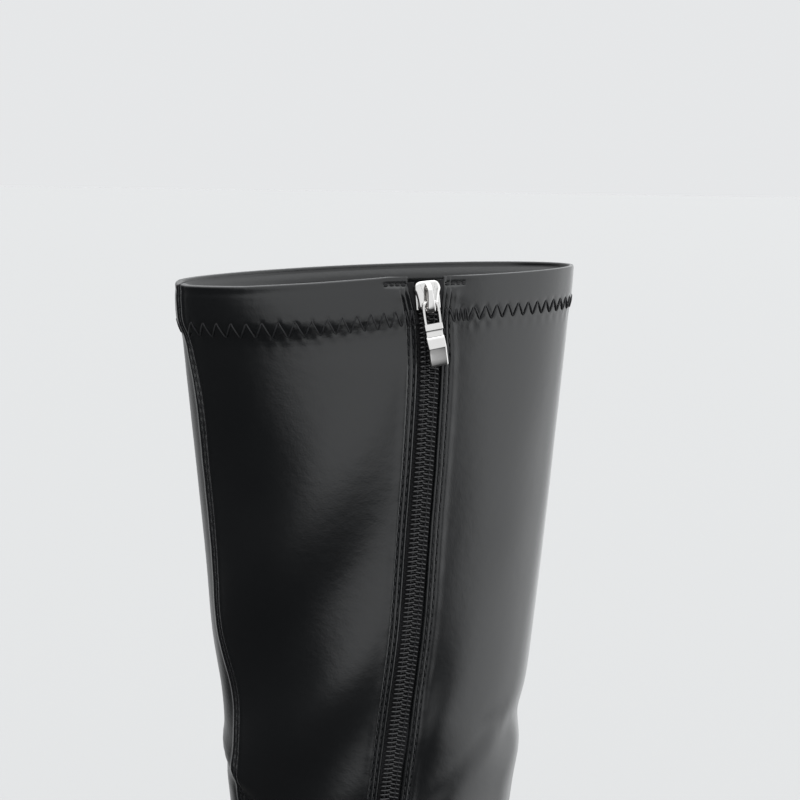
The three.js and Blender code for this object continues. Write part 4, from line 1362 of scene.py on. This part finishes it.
direction = tree.nodes.new("ShaderNodeTexCoord").outputs["Generated"]
brightest = BASE_LIGHT
for name, way, begins, full, strength in LOBES:
    dot = tree.nodes.new("ShaderNodeVectorMath")
    dot.operation = "DOT_PRODUCT"
    dot.inputs[1].default_value = tuple(unit(np.array(way, float)))
    tree.links.new(direction, dot.inputs[0])
    lobe = tree.nodes.new("ShaderNodeMapRange")
    lobe.interpolation_type = "SMOOTHSTEP"
    lobe.inputs["From Min"].default_value = begins
    lobe.inputs["From Max"].default_value = full
    lobe.inputs["To Max"].default_value = strength
    tree.links.new(dot.outputs["Value"], lobe.inputs["Value"])
    brightest = math_node("MAXIMUM", lobe.outputs["Result"], brightest)
room = tree.nodes["Background"]
room.inputs["Color"].default_value = (*ROOM_COLOUR, 1)
tree.links.new(brightest, room.inputs["Strength"])
pale = tree.nodes.new("ShaderNodeBackground")
pale.inputs["Color"].default_value = (*PALE, 1)
choose = tree.nodes.new("ShaderNodeMixShader")
seen = tree.nodes.new("ShaderNodeLightPath")
tree.links.new(seen.outputs["Is Camera Ray"], choose.inputs["Fac"])
tree.links.new(room.outputs["Background"], choose.inputs[1])
tree.links.new(pale.outputs["Background"], choose.inputs[2])
tree.links.new(choose.outputs["Shader"], tree.nodes["World Output"].inputs["Surface"])
bpy.context.scene.view_settings.view_transform = "Standard"

# %% [markdown]
# ## Camera
# The camera stands a little to the toe's side of the zip and looks down ten degrees, close to the top
# of the leg, so that the collar, the zip and the upper shaft fill the frame.

# %% Camera
TURN, TILT, ROLL = math.radians(11.2), math.radians(10.2), math.radians(0.9)
AIM_X, HEIGHT = -13, 383.5
DISTANCE, ASIDE = 400, 7
LENS, SENSOR = 55.6, 36
level = np.array([math.sin(TURN), math.cos(TURN), 0])
right = np.array([math.cos(TURN), -math.sin(TURN), 0])
look = level * math.cos(TILT) - np.array([0, 0, 1]) * math.sin(TILT)
upward = np.array([0, 0, 1]) * math.cos(TILT) + level * math.sin(TILT)
cam_right = right * math.cos(ROLL) + upward * math.sin(ROLL)
cam_up = -right * math.sin(ROLL) + upward * math.cos(ROLL)
centre = (np.array([AIM_X, 0, HEIGHT]) + right * ASIDE - look * DISTANCE) * MM
camera_data = bpy.data.cameras.new("camera")
camera_data.lens = LENS
camera_data.sensor_width = SENSOR
camera_data.clip_start = 0.01
camera = bpy.data.objects.new("camera", camera_data)
bpy.context.scene.collection.objects.link(camera)
frame_axes = np.eye(4)
frame_axes[:3, 0], frame_axes[:3, 1], frame_axes[:3, 2], frame_axes[:3, 3] = cam_right, cam_up, -look, centre
camera.matrix_world = Matrix(frame_axes.tolist())
bpy.context.scene.camera = camera
